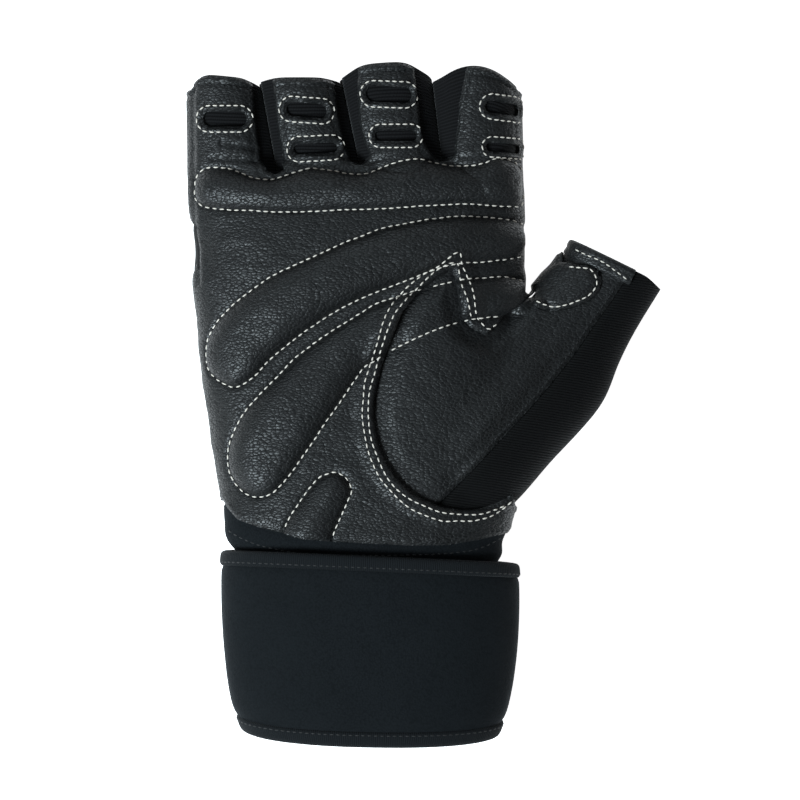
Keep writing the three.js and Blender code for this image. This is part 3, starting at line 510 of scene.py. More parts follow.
@dataclass
class Hand:
    """The form that the glove holds: a palm, four finger stalls and a thumb."""

    palm_width: float = 108.0
    palm_length: float = 119.0
    palm_thickness: float = 33.0
    finger_length: float = 31.0
    finger_thickness: float = 24.0
    finger_lift: float = 0.05
    finger_round: float = 2.5
    finger_back_round: float = 3.0
    thumb_width: float = 32.0
    thumb_thickness: float = 19.0
    thumb_round: float = 2.5
    web_middle: tuple[float, float] = (530, 310)
    web_size: tuple[float, float, float] = (7.0, 4.0, 7.0)
    web_level: float = 17.5
    open_reach: float = 6.0
    finger_start: float = -0.55
    # How many rings and sides each form has.
    body_mesh: tuple[int, int] = (90, 120)
    finger_mesh: tuple[int, int] = (36, 64)
    thumb_mesh: tuple[int, int] = (60, 72)
    web_mesh: tuple[int, int] = (17, 24)
    floor_gap: float = 0.05
    # Shares of the palm's length, width and thickness, and how square its front and back are.
    body: Sequence[tuple[float, ...]] = (
        (-0.20, -0.320, 0.400, 1.07, 0.27, 2.3, 2.1),
        (-0.12, -0.325, 0.405, 1.08, 0.27, 2.3, 2.1),
        (-0.05, -0.340, 0.424, 1.08, 0.26, 2.3, 2.1),
        (0.00, -0.374, 0.440, 1.08, 0.23, 2.35, 2.2),
        (0.06, -0.393, 0.448, 1.07, 0.18, 2.45, 2.5),
        (0.12, -0.386, 0.450, 1.06, 0.13, 2.5, 2.7),
        (0.19, -0.399, 0.453, 1.04, 0.08, 2.6, 2.9),
        (0.26, -0.413, 0.457, 1.02, 0.04, 2.6, 3.1),
        (0.38, -0.431, 0.465, 0.99, 0.01, 2.7, 3.3),
        (0.51, -0.446, 0.473, 0.96, -0.012, 2.7, 3.4),
        (0.60, -0.454, 0.478, 0.95, -0.012, 2.7, 3.4),
        (0.69, -0.468, 0.482, 0.94, -0.012, 2.7, 3.4),
        (0.78, -0.462, 0.484, 0.92, -0.012, 2.7, 3.4),
        (0.88, -0.475, 0.481, 0.88, -0.010, 2.7, 3.4),
        (0.95, -0.481, 0.481, 0.83, 0.01, 2.7, 3.4),
        (1.01, -0.481, 0.480, 0.74, 0.03, 2.7, 3.4),
    )
    fingers: Sequence[Finger] = (
        Finger("little", -0.3606, -0.3873, 0.1208, 0.0942, 0.944, 0.10, 0.94, 5.0, 0.03),
        Finger("ring", -0.1134, -0.1696, 0.1208, 0.118, 0.929, 0.07, 1.02, 5.0),
        Finger("middle", 0.1319, 0.0859, 0.119, 0.132, 1.077, 0.2, 1.08, 3.6, -0.03),
        Finger("index", 0.368, 0.351, 0.1116, 0.1276, 1.048, 0.2, 1.02, 2.0, 0.0),
    )
    # The thumb's step, centre, half-width, middle, height, depth and heading in degrees.
    thumb: Sequence[tuple[float, ...]] = (
        (0, 0.200, 0.100, 0.5, 0.95, 0.62, 0.5, 46),
        (1, 0.339, 0.204, 0.581, 0.95, 0.82, 0.6, 46),
        (2, 0.452, 0.325, 0.6, 0.88, 0.74, 0.6, 42),
        (3, 0.585, 0.452, 0.581, 0.78, 0.62, 0.58, 37),
        (4, 0.650, 0.567, 0.55, 0.7, 0.54, 0.54, 33),
        (5, 0.701, 0.641, 0.52, 0.66, 0.5, 0.5, 29),
        (6, 0.779, 0.748, 0.5, 0.63, 0.48, 0.48, 26),
    )

    def ring(
        self, x: Array, y: Array, heading: Array, half: Array, middle: Array, up: Array, down: Array,
        front: Array | float, back: Array | float, sides: int, bow: Array | float = 0.0,
        flat: float = 2.0, tilt: Array | float = 0.0,
    ) -> Array:
        """Cross-sections across their heading, as rings of points.

        Args:
            x: Centres across the palm.
            y: Centres along the palm.
            heading: Directions in degrees from +Y towards +X.
            half: Half-widths.
            middle: Heights of the widest place.
            up: Heights above it.
            down: Depths below it.
            front: How square the upper halves are.
            back: How square the lower halves are.
            sides: Points in a ring.
            bow: How far the sides stand back from the middle.
            flat: How flat the middle is before they do.
            tilt: How far the right side stands back from the left.

        Returns:
            An array of rings by points by three.
        """
        given = (x, y, heading, half, middle, up, down, front, back, bow, tilt)
        columns = [np.reshape(np.asarray(v, dtype=float), (-1, 1)) for v in given]
        x, y, heading, half, middle, up, down, front, back, bow, tilt = columns
        turn = np.linspace(0, 2 * np.pi, sides, endpoint=False)[None, :]
        sine, cosine = np.sin(turn), np.cos(turn)
        high = sine >= 0
        power = np.where(high, front, back)
        across = half * squared(cosine, power)
        back_off = -bow * np.abs(across / half) ** flat - tilt * across / half
        angle = np.radians(heading)
        z = middle + np.where(high, up, down) * squared(sine, power)
        return np.stack((
            x + across * np.cos(angle) + back_off * np.sin(angle),
            y - across * np.sin(angle) + back_off * np.cos(angle),
            z + 0 * across,
        ), axis=-1)

    def body_rings(self, along: Array, level: float, sides: int) -> Array:
        """The palm's sections at shares of its length, grown by a level."""
        rows = eased(self.body, along)
        _, left, right, top, bottom, front, back = rows.T
        half = (right - left) / 2 * self.palm_width + level
        deep = (top - bottom) / 2 * self.palm_thickness
        return self.ring(
            (left + right) / 2 * self.palm_width, along * self.palm_length, 0 * along, half,
            (top + bottom) / 2 * self.palm_thickness, deep + level, deep + min(level, 0.0),
            front, back, sides,
        )

    def finger_rings(self, finger: Finger, share: Array, level: float, sides: int) -> Array:
        """A finger's sections at shares of its length from the root, grown by a level."""
        deep = (finger.top - self.finger_lift) / 2 * self.finger_thickness
        middle = (finger.top + self.finger_lift) / 2 * self.finger_thickness
        out = np.maximum(0, share / finger.reach)
        return self.ring(
            finger.middle(share) * self.palm_width, self.palm_length + share * self.finger_length,
            0 * share, finger.half(share) * self.palm_width + level, middle + 0 * share,
            deep + level + 0 * share, deep + min(level, 0.0) + 0 * share, self.finger_round,
            self.finger_back_round, sides, finger.drop * self.finger_length * out, finger.flat,
            finger.tilt * self.finger_length * out,
        )

    def thumb_rings(self, step: Array, level: float, sides: int, push: Array | float = 0.0) -> Array:
        """The thumb's sections at steps of its table, grown by a level and pushed along its heading."""
        _, across, along, half, middle, up, down, heading = eased(self.thumb, step).T
        angle = np.radians(heading)
        return self.ring(
            across * self.palm_width + push * np.sin(angle),
            along * self.palm_length + push * np.cos(angle), heading,
            half * self.thumb_width + level, middle * self.thumb_thickness,
            up * self.thumb_thickness + level, down * self.thumb_thickness + level,
            self.thumb_round, self.thumb_round, sides,
        )

    def finger_end(self, points: Array) -> Array:
        """How far points lie beyond the ends of the fingers that they are nearest to."""
        share = (points[:, 1] - self.palm_length) / self.finger_length
        best = np.full(len(points), 9.0)
        beyond = np.full(len(points), -50.0)
        for finger in self.fingers:
            half = finger.half(share) * self.palm_width
            side = (points[:, 0] - finger.middle(share) * self.palm_width) / half
            off = np.abs(side)
            nearer = off < best
            best[nearer] = off[nearer]
            end = finger.reach - finger.drop * np.minimum(off, 1.1) ** finger.flat - finger.tilt * side
            beyond[nearer] = ((share - end) * self.finger_length)[nearer]
        return beyond

    def thumb_end(self, points: Array) -> Array:
        """How far points lie beyond the thumb's end."""
        _, across, along, _, _, _, _, heading = self.thumb[-1]
        angle = math.radians(heading)
        return ((points[:, 0] - across * self.palm_width) * math.sin(angle)
                + (points[:, 1] - along * self.palm_length) * math.cos(angle))

    def thumb_place(self, points: Array) -> tuple[Array, Array, Array]:
        """Where points lie on the thumb: along its line, across it, and above its middle."""
        rows = eased(self.thumb, np.linspace(0, len(self.thumb) - 1, 60))
        line = np.column_stack((rows[:, 1] * self.palm_width, rows[:, 2] * self.palm_length))
        middle = rows[:, 4] * self.thumb_thickness
        _, along = to_line(points[:, :2], line)
        lengths = lengths_of(line)
        centre = np.column_stack([np.interp(along, lengths, line[:, k]) for k in range(2)])
        heading = np.radians(np.interp(along, lengths, rows[:, 7]))
        away = points[:, :2] - centre
        across = away[:, 0] * np.cos(heading) - away[:, 1] * np.sin(heading)
        return along, across, points[:, 2] - np.interp(along, lengths, middle)

    def web(self) -> Array:
        """Rings of the rounded web that fills the crotch of the thumb."""
        rows, sides = self.web_mesh
        rise = np.linspace(-1, 1, rows)[:, None] * math.pi / 2
        turn = np.linspace(0, 2 * np.pi, sides, endpoint=False)[None, :]
        reach = np.cos(rise) + 0.02
        middle, size = traced([self.web_middle])[0], self.web_size
        return np.stack((
            middle[0] + size[0] * reach * np.cos(turn),
            middle[1] + size[1] * reach * np.sin(turn),
            self.web_level + size[2] * np.sin(rise) + 0 * turn,
        ), axis=-1)

    def surface(self, voxel: float, smoothing: int) -> Sheet:
        """The whole hand's skin as one smooth sheet.

        Args:
            voxel: The mesh's grain, in millimetres.
            smoothing: How many times its creases are smoothed.

        Returns:
            The skin, closed and reaching past the glove's open ends.
        """
        rows, sides = self.body_mesh
        along = np.linspace(self.body[0][0], self.body[-1][0], rows)
        lofts = [loft(self.body_rings(along, 0.0, sides))]
        rows, sides = self.finger_mesh
        for finger in self.fingers:
            end = finger.reach + self.open_reach / self.finger_length
            share = np.linspace(self.finger_start, end, rows)
            lofts.append(loft(self.finger_rings(finger, share, 0.0, sides)))
        rows, sides = self.thumb_mesh
        last = len(self.thumb) - 1.0
        steps = np.concatenate((np.linspace(0, last, rows), [last]))
        push = np.concatenate((np.zeros(rows), [self.open_reach]))
        lofts.append(loft(self.thumb_rings(steps, 0.0, sides, push)))
        lofts.append(loft(self.web()))
        points, faces, count = [], [], 0
        for made, corners in lofts:
            points.append(made)
            faces.append(corners + count)
            count += len(made)
        mesh = bare_mesh("hand_form", np.concatenate(points) * MM, np.concatenate(faces))
        obj = linked("hand_form", mesh)
        remesh = obj.modifiers.new("grain", "REMESH")
        remesh.mode = "VOXEL"
        remesh.voxel_size = voxel * MM
        soften = obj.modifiers.new("soften", "SMOOTH")
        soften.factor = 0.5
        soften.iterations = smoothing
        settled(obj)
        mesh = obj.data
        mesh.calc_loop_triangles()
        points, normals, faces = (
            triples(source, key, kind)
            for source, key, kind in (
                (mesh.vertices, "co", np.float32),
                (mesh.vertex_normals, "vector", np.float32),
                (mesh.loop_triangles, "vertices", np.int32),
            )
        )
        bpy.data.objects.remove(obj)
        bpy.data.meshes.remove(mesh)
        points = points.astype(float) / MM
        points[:, 2] = np.maximum(points[:, 2], self.floor_gap)
        return Sheet(points, faces, normals.astype(float))


# Solid pieces from sheets.


def border(faces: Array) -> Array:
    """The directed edges that only one face has."""
    edges = np.concatenate((faces[:, [0, 1]], faces[:, [1, 2]], faces[:, [2, 0]]))
    keys = edges[:, 0].astype(np.int64) * (faces.max() + 1) + edges[:, 1]
    back = edges[:, 1].astype(np.int64) * (faces.max() + 1) + edges[:, 0]
    return edges[~np.isin(keys, back)]


def walled(sheet: Sheet, inner: Sheet) -> tuple[Array, Array]:
    """Closes the space between a sheet and its inner side, which has the same faces.

    Args:
        sheet: The outer side.
        inner: The inner side.

    Returns:
        The points and the triangles of the closed wall.
    """
    count = len(sheet.points)
    rim = border(sheet.faces)
    a, b = rim[:, 0], rim[:, 1]
    faces = np.concatenate((
        sheet.faces,
        sheet.faces[:, ::-1] + count,
        np.stack((b, a, a + count), axis=1),
        np.stack((b, a + count, b + count), axis=1),
    ))
    return np.concatenate((sheet.points, inner.points)), faces


def declared(obj: bpy.types.Object, slot: str, *nodes: str, fill: float | None = None) -> None:
    """Hangs a piece on the root and hides the model's parts that it stands for."""
    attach(obj, "root")
    if nodes:
        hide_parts(*nodes)
    LOG.info("%s: %d faces", obj.name, len(obj.data.polygons))


def tree_of(points: Array, faces: Array) -> BVHTree:
    """The surface that rays are cast on when a seam is laid."""
    return BVHTree.FromPolygons(points.tolist(), faces.tolist())


@dataclass(frozen=True)
class Piece:
    """A piece's name, finish and place in the frame."""

    name: str
    material: bpy.types.Material
    slot: str
    node: str
    fill: float | None = None
    sharp: float = SHEET_SHARP

    def made(self, points: Array, faces: Array, cloth: Array | None = None) -> None:
        """Makes the piece.

        Args:
            points: Its vertices in the palm's frame.
            faces: Its triangles.
            cloth: Each vertex's place on the cloth, in millimetres, where the finish follows it.
        """
        mesh = bare_mesh(self.name, placed(points), faces)
        if cloth is not None:
            corners = np.empty(len(mesh.loops), dtype=np.int32)
            mesh.loops.foreach_get("vertex_index", corners)
            layer = mesh.uv_layers.new(name="cloth")
            layer.data.foreach_set("uv", (cloth[corners] * MM).astype(np.float32).ravel())
        mesh.materials.append(self.material)
        mesh.set_sharp_from_angle(angle=math.radians(self.sharp))
        declared(linked(self.name, mesh), self.slot, self.node, fill=self.fill)

    def shell(self, outer: Sheet, inner: Sheet) -> BVHTree:
        """Makes the piece from its two sides, and hands back what its seams are sewn on."""
        self.made(*walled(outer, inner))
        return tree_of(outer.points, outer.faces)


# The pieces' outlines.


@dataclass(frozen=True)
class Slot:
    """A grip slot, whose opening and stitched loop are left, right, upper and lower pixels."""

    opening: tuple[float, float, float, float]
    loop: tuple[float, float, float, float]
    turn: float = 0.0
    lean: float = 0.0

    def frame(self, hand: Hand) -> tuple[Array, Array]:
        """The slot's middle, and the axes along it, across it and out of the finger."""
        left, right, upper, lower = self.opening
        middle = traced([((left + right) / 2, (upper + lower) / 2)])[0]
        lean, turn = math.radians(self.lean), math.radians(self.turn)
        flat = math.cos(turn)
        along = np.array([math.cos(lean) * flat, math.sin(turn), -math.sin(lean) * flat])
        out = np.array([math.sin(lean), 0.0, math.cos(lean)])
        across = np.cross(out, along)
        depth = hand.finger_thickness / 2
        pivot = np.array([middle[0] - math.sin(lean) * depth * SLOT_REACH, middle[1], depth])
        return pivot, np.stack((along, across, out))

    def sized(self, box: tuple[float, float, float, float]) -> tuple[float, float]:
        """A box's length and width in millimetres."""
        left, right, upper, lower = box
        facing = math.cos(math.radians(self.lean) * SLOT_FACING)
        return (right - left) * PIXEL / facing, (lower - upper) * PIXEL

    def distance(self, hand: Hand, points: Array, loop: bool = False) -> Array:
        """The distance of points from the slot or from its stitched loop, measured over the finger."""
        pivot, axes = self.frame(hand)
        local = (points - pivot) @ axes.T
        length, width = self.sized(self.loop if loop else self.opening)
        over = np.maximum(np.abs(local[:, 0]) - (length - width) / 2, 0)
        return np.where(local[:, 2] > 0, np.hypot(over, local[:, 1]) - width / 2, FAR)

    def ring(self, hand: Hand) -> tuple[Array, Array]:
        """The stitched loop's places beside the finger's middle, and the direction out of the finger."""
        pivot, axes = self.frame(hand)
        length, width = self.sized(self.loop)
        turn = np.linspace(0, 2 * np.pi, 72, endpoint=False)
        reach = (length - width) / 2
        flat = np.column_stack((
            np.cos(turn) * width / 2 + np.sign(np.cos(turn)) * reach,
            np.sin(turn) * width / 2,
        ))
        line = even_line(np.vstack((flat, flat[:1])), 0.5, closed=True)
        return pivot + line[:, :1] * axes[0] + line[:, 1:2] * axes[1], axes[2]


@dataclass
class Pattern:
    """The outlines and seams of the palm side, traced from the frame."""

    lower_edge: Points = (
        (545, 480), (519, 492), (514, 498), (516, 506), (522, 512), (522, 522), (510, 533),
        (494, 536), (481, 539), (449, 544), (411, 544.5), (361, 542), (332, 540.6), (303, 538),
        (283, 532), (257, 526), (246, 522), (238, 519), (228, 509), (221, 500), (180, 498),
    )
    fronts: Points = (
        (150, 498), (150, 40), (254.6, 40), (254.6, 89), (256, 112), (259, 135), (262, 158), (267, 170),
        (276, 174), (284.5, 169), (281, 158), (277.6, 141), (275, 124), (273.6, 101), (272, 88), (272, 40),
        (337, 40), (337, 89), (339.6, 112), (343, 130), (347.6, 147), (352, 159), (360, 163), (369, 157),
        (363, 144), (358, 125), (356.6, 106), (356.6, 77), (356.6, 40), (416.5, 40), (416.5, 72),
        (418.4, 93), (420.4, 119), (423, 138), (430, 152), (441, 160), (453, 156), (455, 138), (457, 125),
        (458, 106), (461, 93), (465.6, 71), (465.6, 40), (560, 40), (560, 300), (560, 480),
    )
    opening: Points = (
        (620, 495), (530, 496), (513, 497), (508, 500.5), (495, 506), (481, 508), (462, 509), (442, 506),
        (424, 499), (411, 491), (397, 477), (387, 462), (380, 446), (376.6, 431), (374, 416), (375, 399),
        (378, 383), (382, 366), (391, 341), (402, 313), (417, 294), (436, 280), (449, 272), (453, 271),
        (455.5, 280), (458, 294), (462, 317), (471, 328), (487.5, 336), (500, 323), (508, 313),
        (517, 304), (524, 297), (531, 289), (620, 280),
    )
    thumb_seam: Points = (
        (652, 246), (635, 267), (623, 284), (611, 302), (595, 324), (576, 352), (550.5, 384), (528, 410),
        (499, 441), (473, 469), (444, 498), (420, 521),
    )
    patch: Points = (
        (533, 300), (536, 296), (540, 288), (545, 276), (552, 267), (559, 263), (566, 262.5), (580, 264),
        (588, 265), (595, 268), (600, 274), (601, 281), (600, 288), (595, 296), (587, 302), (576, 307),
        (566, 310), (555, 312), (544, 310), (533, 306),
    )
    knuckle: Points = (
        (195, 187), (197, 177), (205, 169), (218, 168), (232, 170), (249, 177), (260, 180), (274, 180),
        (283, 177), (300, 171.5), (311, 169), (320, 170), (335, 172), (344, 174), (357, 175.5),
        (369, 174), (378, 170), (391, 165), (404, 161.5), (419, 160), (432, 163), (446, 166), (459, 167),
        (474, 166), (487, 163), (496, 159), (510, 161), (519, 166), (524, 175), (524.5, 184), (524, 193),
        (522, 204), (518, 207), (493, 206), (467, 204.5), (442, 205.5), (416, 207), (391, 209),
        (366, 210), (340, 210.5), (318, 212), (278, 212.5), (249, 211), (226, 210), (205, 207),
        (197, 201), (195, 193),
    )
    upper: Points = (
        (530, 230), (518, 223), (509, 220.5), (495.5, 219), (475, 217.4), (459, 217), (440, 219),
        (424, 221), (404, 225), (383, 229), (360, 238), (346, 243), (320, 255), (295, 266), (269, 279),
        (244, 297), (231, 308), (218, 322), (209, 338), (207, 350), (208, 366), (213, 375), (222, 382),
        (234, 387), (244, 384), (256.5, 375), (269, 361), (288, 345), (308, 330), (333, 313.5),
        (359, 300), (385.5, 289), (417, 277), (429, 272), (448, 266), (464, 263.5), (486, 262),
        (510, 259), (524, 256), (530, 254),
    )
    lower: Points = (
        (530, 286), (520.7, 281), (503.5, 277.4), (479, 279), (458, 281), (417, 291), (399, 297),
        (375, 305), (359, 315), (333, 331), (313, 345), (295, 359), (276, 379), (256.5, 399), (244, 414),
        (236, 429), (230, 444), (228.5, 457), (230, 471), (236, 483), (245, 492), (255, 496), (264, 496),
        (273.5, 492), (280, 486), (292, 472), (306, 452), (315, 439), (324, 425), (332, 414), (343, 398),
        (355, 380), (365, 367), (375, 361), (391, 351), (431, 332), (465, 321), (502, 316), (530, 314),
    )
    heel: Points = (
        (272, 560), (285.5, 527), (292, 514), (303, 498), (310, 488), (319, 478), (326, 474),
        (335.5, 472), (343.5, 475), (349, 481.5), (352, 489.5), (349, 498), (342, 514), (335, 530),
        (322, 560),
    )
    outer_row: Points = (
        (512, 500.5), (500, 510), (488, 516.5), (472, 520), (457, 520), (442, 520), (424, 514),
        (411, 508), (399.5, 499), (389, 488), (380, 477), (373, 463), (368, 449), (364.5, 431),
        (362.5, 415), (363.6, 400), (365, 383), (369, 370), (377, 345), (387, 314), (404, 291),
        (424, 275), (438, 267), (458, 253), (462, 266), (472, 290), (475, 309), (477, 318),
        (487.5, 329), (495, 325), (504, 317),
    )
    inner_row: Points = (
        (505, 505), (494, 509.5), (482, 513), (470, 514), (454, 513), (439, 511), (424, 505),
        (411, 499), (399.5, 491), (389, 479.5), (382, 467), (377, 455), (373, 444), (370, 431),
        (368.5, 410), (369.6, 393), (372, 383), (376, 370), (381, 350), (392, 320), (402, 305),
        (424, 282), (434, 273), (442, 268), (449, 264), (457, 264), (459, 273), (461, 284), (467, 300),
        (470, 314), (472, 322),
    )
    patch_row: Points = (
        (535, 301), (545, 305), (555, 307), (566, 305), (575, 302), (586, 297), (592, 292), (596, 285),
        (596, 280), (594, 274), (590, 270), (585, 268.5), (578, 268), (568, 267),
    )
    end_rows: Sequence[Points] = (
        ((190, 92), (197, 88), (206, 85), (232, 87), (246, 91), (253, 94)),
        ((274, 91), (284, 86.5), (306, 86), (327, 87.5), (335, 92)),
        ((358, 79), (366, 74), (388, 71.5), (408, 73.5), (415, 76)),
        ((463, 78), (475, 74), (493, 77.5), (510, 83), (520, 89)),
    )
    side_seam: Points = ((193.5, 84), (193.5, 215), (196.6, 251), (199, 283))
    folds: Sequence[Points] = (
        ((352, 160), (366, 163), (384, 160), (402, 157), (424, 154)),
        ((256, 150), (240, 146), (222, 144)),
        ((262, 163), (238, 160), (210, 160)),
        ((338, 166), (318, 165), (296, 165)),
        ((462, 158), (478, 157), (496, 152)),
    )
    seam_from: float = 100.0
    cuff_row: Points = (
        (223, 526), (238, 535.5), (257, 543.5), (275, 548), (298, 552), (340, 554), (411, 554), (462, 551),
        (486, 545), (503, 536),
    )
    hem_row: Points = ((574, 249), (586, 255), (602, 262), (615, 271), (627, 280))
    crotch: tuple[float, float] = (504, 300)
    seam_offset: tuple[float, float] = (-4, -2.5)
    slots: Sequence[Slot] = (
        Slot((202, 248, 112, 127), (198, 254, 108, 134)),
        Slot((286, 328, 104, 118), (280, 335, 99, 124), turn=-4),
        Slot((293, 339, 144, 154), (287, 344, 137, 162), turn=3),
        Slot((365, 413, 87.5, 103.5), (360, 417, 84, 110), turn=-2),
        Slot((374, 418, 131.5, 142), (367, 420, 125, 148)),
        Slot((484, 526, 103, 115), (476, 528, 98, 123), turn=-6, lean=22),
        Slot((485, 528, 144, 153), (479, 530, 140, 160), turn=-3, lean=22),
    )
    seam_height: float = 13.2
    seam_rise: float = 6.0
    seam_side: tuple[float, float] = (-44, -34)
    seam_spans: Sequence[tuple[float, ...]] = ((80, 88, 99, 106), (6, 12, 46, 56))
    zone_blend: float = 3.0
    fringe: float = 4.0
    cuff_line: float = 8.4
    cuff_slope: float = -0.1
    cuff_low: float = -15.6
    round_palm: Points = ((-60, -20), (-60, 160), (200, 160))
    root_lap: float = 6.0
    gap: float = 0.3
    thumb_front: Points = (
        (0.9, 0.09), (0.62, 0.09), (0.475, 0.07), (0.42, 0.055), (0.34, 0.045), (0.24, 0.05),
        (0.14, 0.07), (0.06, 0.13), (0.01, 0.24), (0, 0.36), (0.03, 0.5), (0.1, 0.65), (0.2, 0.75),
        (0.29, 0.78), (0.38, 0.72), (0.45, 0.69), (0.535, 0.72), (0.62, 0.84), (0.7, 1), (1.2, 0.9),
    )
    thumb_back: Points = (
        (0.9, 0.09), (0.62, 0.09), (0.475, 0.07), (0.43, 0.1), (0.405, 0.2), (0.405, 0.35),
        (0.43, 0.52), (0.48, 0.66), (0.535, 0.72), (0.62, 0.84), (0.7, 1), (1.2, 0.9),
    )

    def panel(self, hand: Hand, points: Array) -> Array:
        """How far points lie outside the palm leather, without its thumb opening and slots."""
        outline = np.vstack((traced(self.lower_edge), traced(self.fronts)))
        edge = out_of(points[:, :2], outline)
        return np.maximum.reduce((edge, self.seam(points) - points[:, 2], hand.finger_end(points)))

    def into_opening(self, points: Array) -> Array:
        """How far points lie inside the thumb opening."""
        return -out_of(points[:, :2], traced(self.opening))

    def into_slots(self, hand: Hand, points: Array) -> Array:
        """How far points lie inside the nearest slot."""
        return np.maximum.reduce([-slot.distance(hand, points) for slot in self.slots])

    def shares(self, hand: Hand, outline: Points) -> Array:
        """An outline in shares of the palm in millimetres."""
        return np.asarray(outline, dtype=float) * np.array([hand.palm_width, hand.palm_length])

    def seam(self, points: Array) -> Array:
        """The height of the seam between palm and back, which rises at the little finger's side."""
        x, y = points[:, 0], points[:, 1]
        upper, lower = (band(y, *span) for span in self.seam_spans)
        side = 1 - smoothstep(*self.seam_side, x)
        return self.seam_height + self.seam_rise * side * np.maximum(upper, lower)

    def cuff(self, points: Array) -> Array:
        """How far points lie on the fingers' side of the cuff's upper edge."""
        return points[:, 1] - self.cuff_line - self.cuff_slope * points[:, 0]

    def thumb_zone(self, hand: Hand, points: Array) -> Array:
        """How far points lie outside the thumb's pieces."""
        front = out_of(points[:, :2], self.shares(hand, self.thumb_front))
        back = out_of(points[:, :2], self.shares(hand, self.thumb_back))
        low, high = self.seam_height - self.zone_blend, self.seam_height + self.zone_blend
        mixed = smoothstep(low, high, points[:, 2])
        return np.maximum(back * (1 - mixed) + front * mixed, self.gap - self.cuff(points))

    def thumb_leather(self, hand: Hand, points: Array) -> Array:
        """How far points lie outside the thumb's leather, which ends at a seam and at mid height."""
        line = traced(self.thumb_seam)
        side = np.vstack((line, self.round_palm))
        _, _, above = hand.thumb_place(points)
        return np.maximum(out_of(points[:, :2], side), -above)


# Materials.


class Value:
    """A shader's number, on which arithmetic can be done."""

    def __init__(self, graph: "Graph", socket: bpy.types.NodeSocket | float) -> None:
        self.graph = graph
        self.socket = socket

    def combined(self, operation: str, other: "Value | float", flipped: bool = False) -> "Value":
        """One step of arithmetic with another value."""
        first, second = (other, self) if flipped else (self, other)
        return self.graph.math(operation, first, second)

    __add__ = partialmethod(combined, "ADD")
    __radd__ = partialmethod(combined, "ADD", flipped=True)
    __sub__ = partialmethod(combined, "SUBTRACT")
    __rsub__ = partialmethod(combined, "SUBTRACT", flipped=True)
    __mul__ = partialmethod(combined, "MULTIPLY")
    __rmul__ = partialmethod(combined, "MULTIPLY", flipped=True)

    def between(self, low: float, high: float) -> "Value":
        """Rises smoothly from 0 to 1 between two values."""
        inputs = {"Value": self, 1: low, 2: high, 3: 0.0, 4: 1.0}
        return self.graph.value("MapRange", inputs, interpolation_type="SMOOTHSTEP")


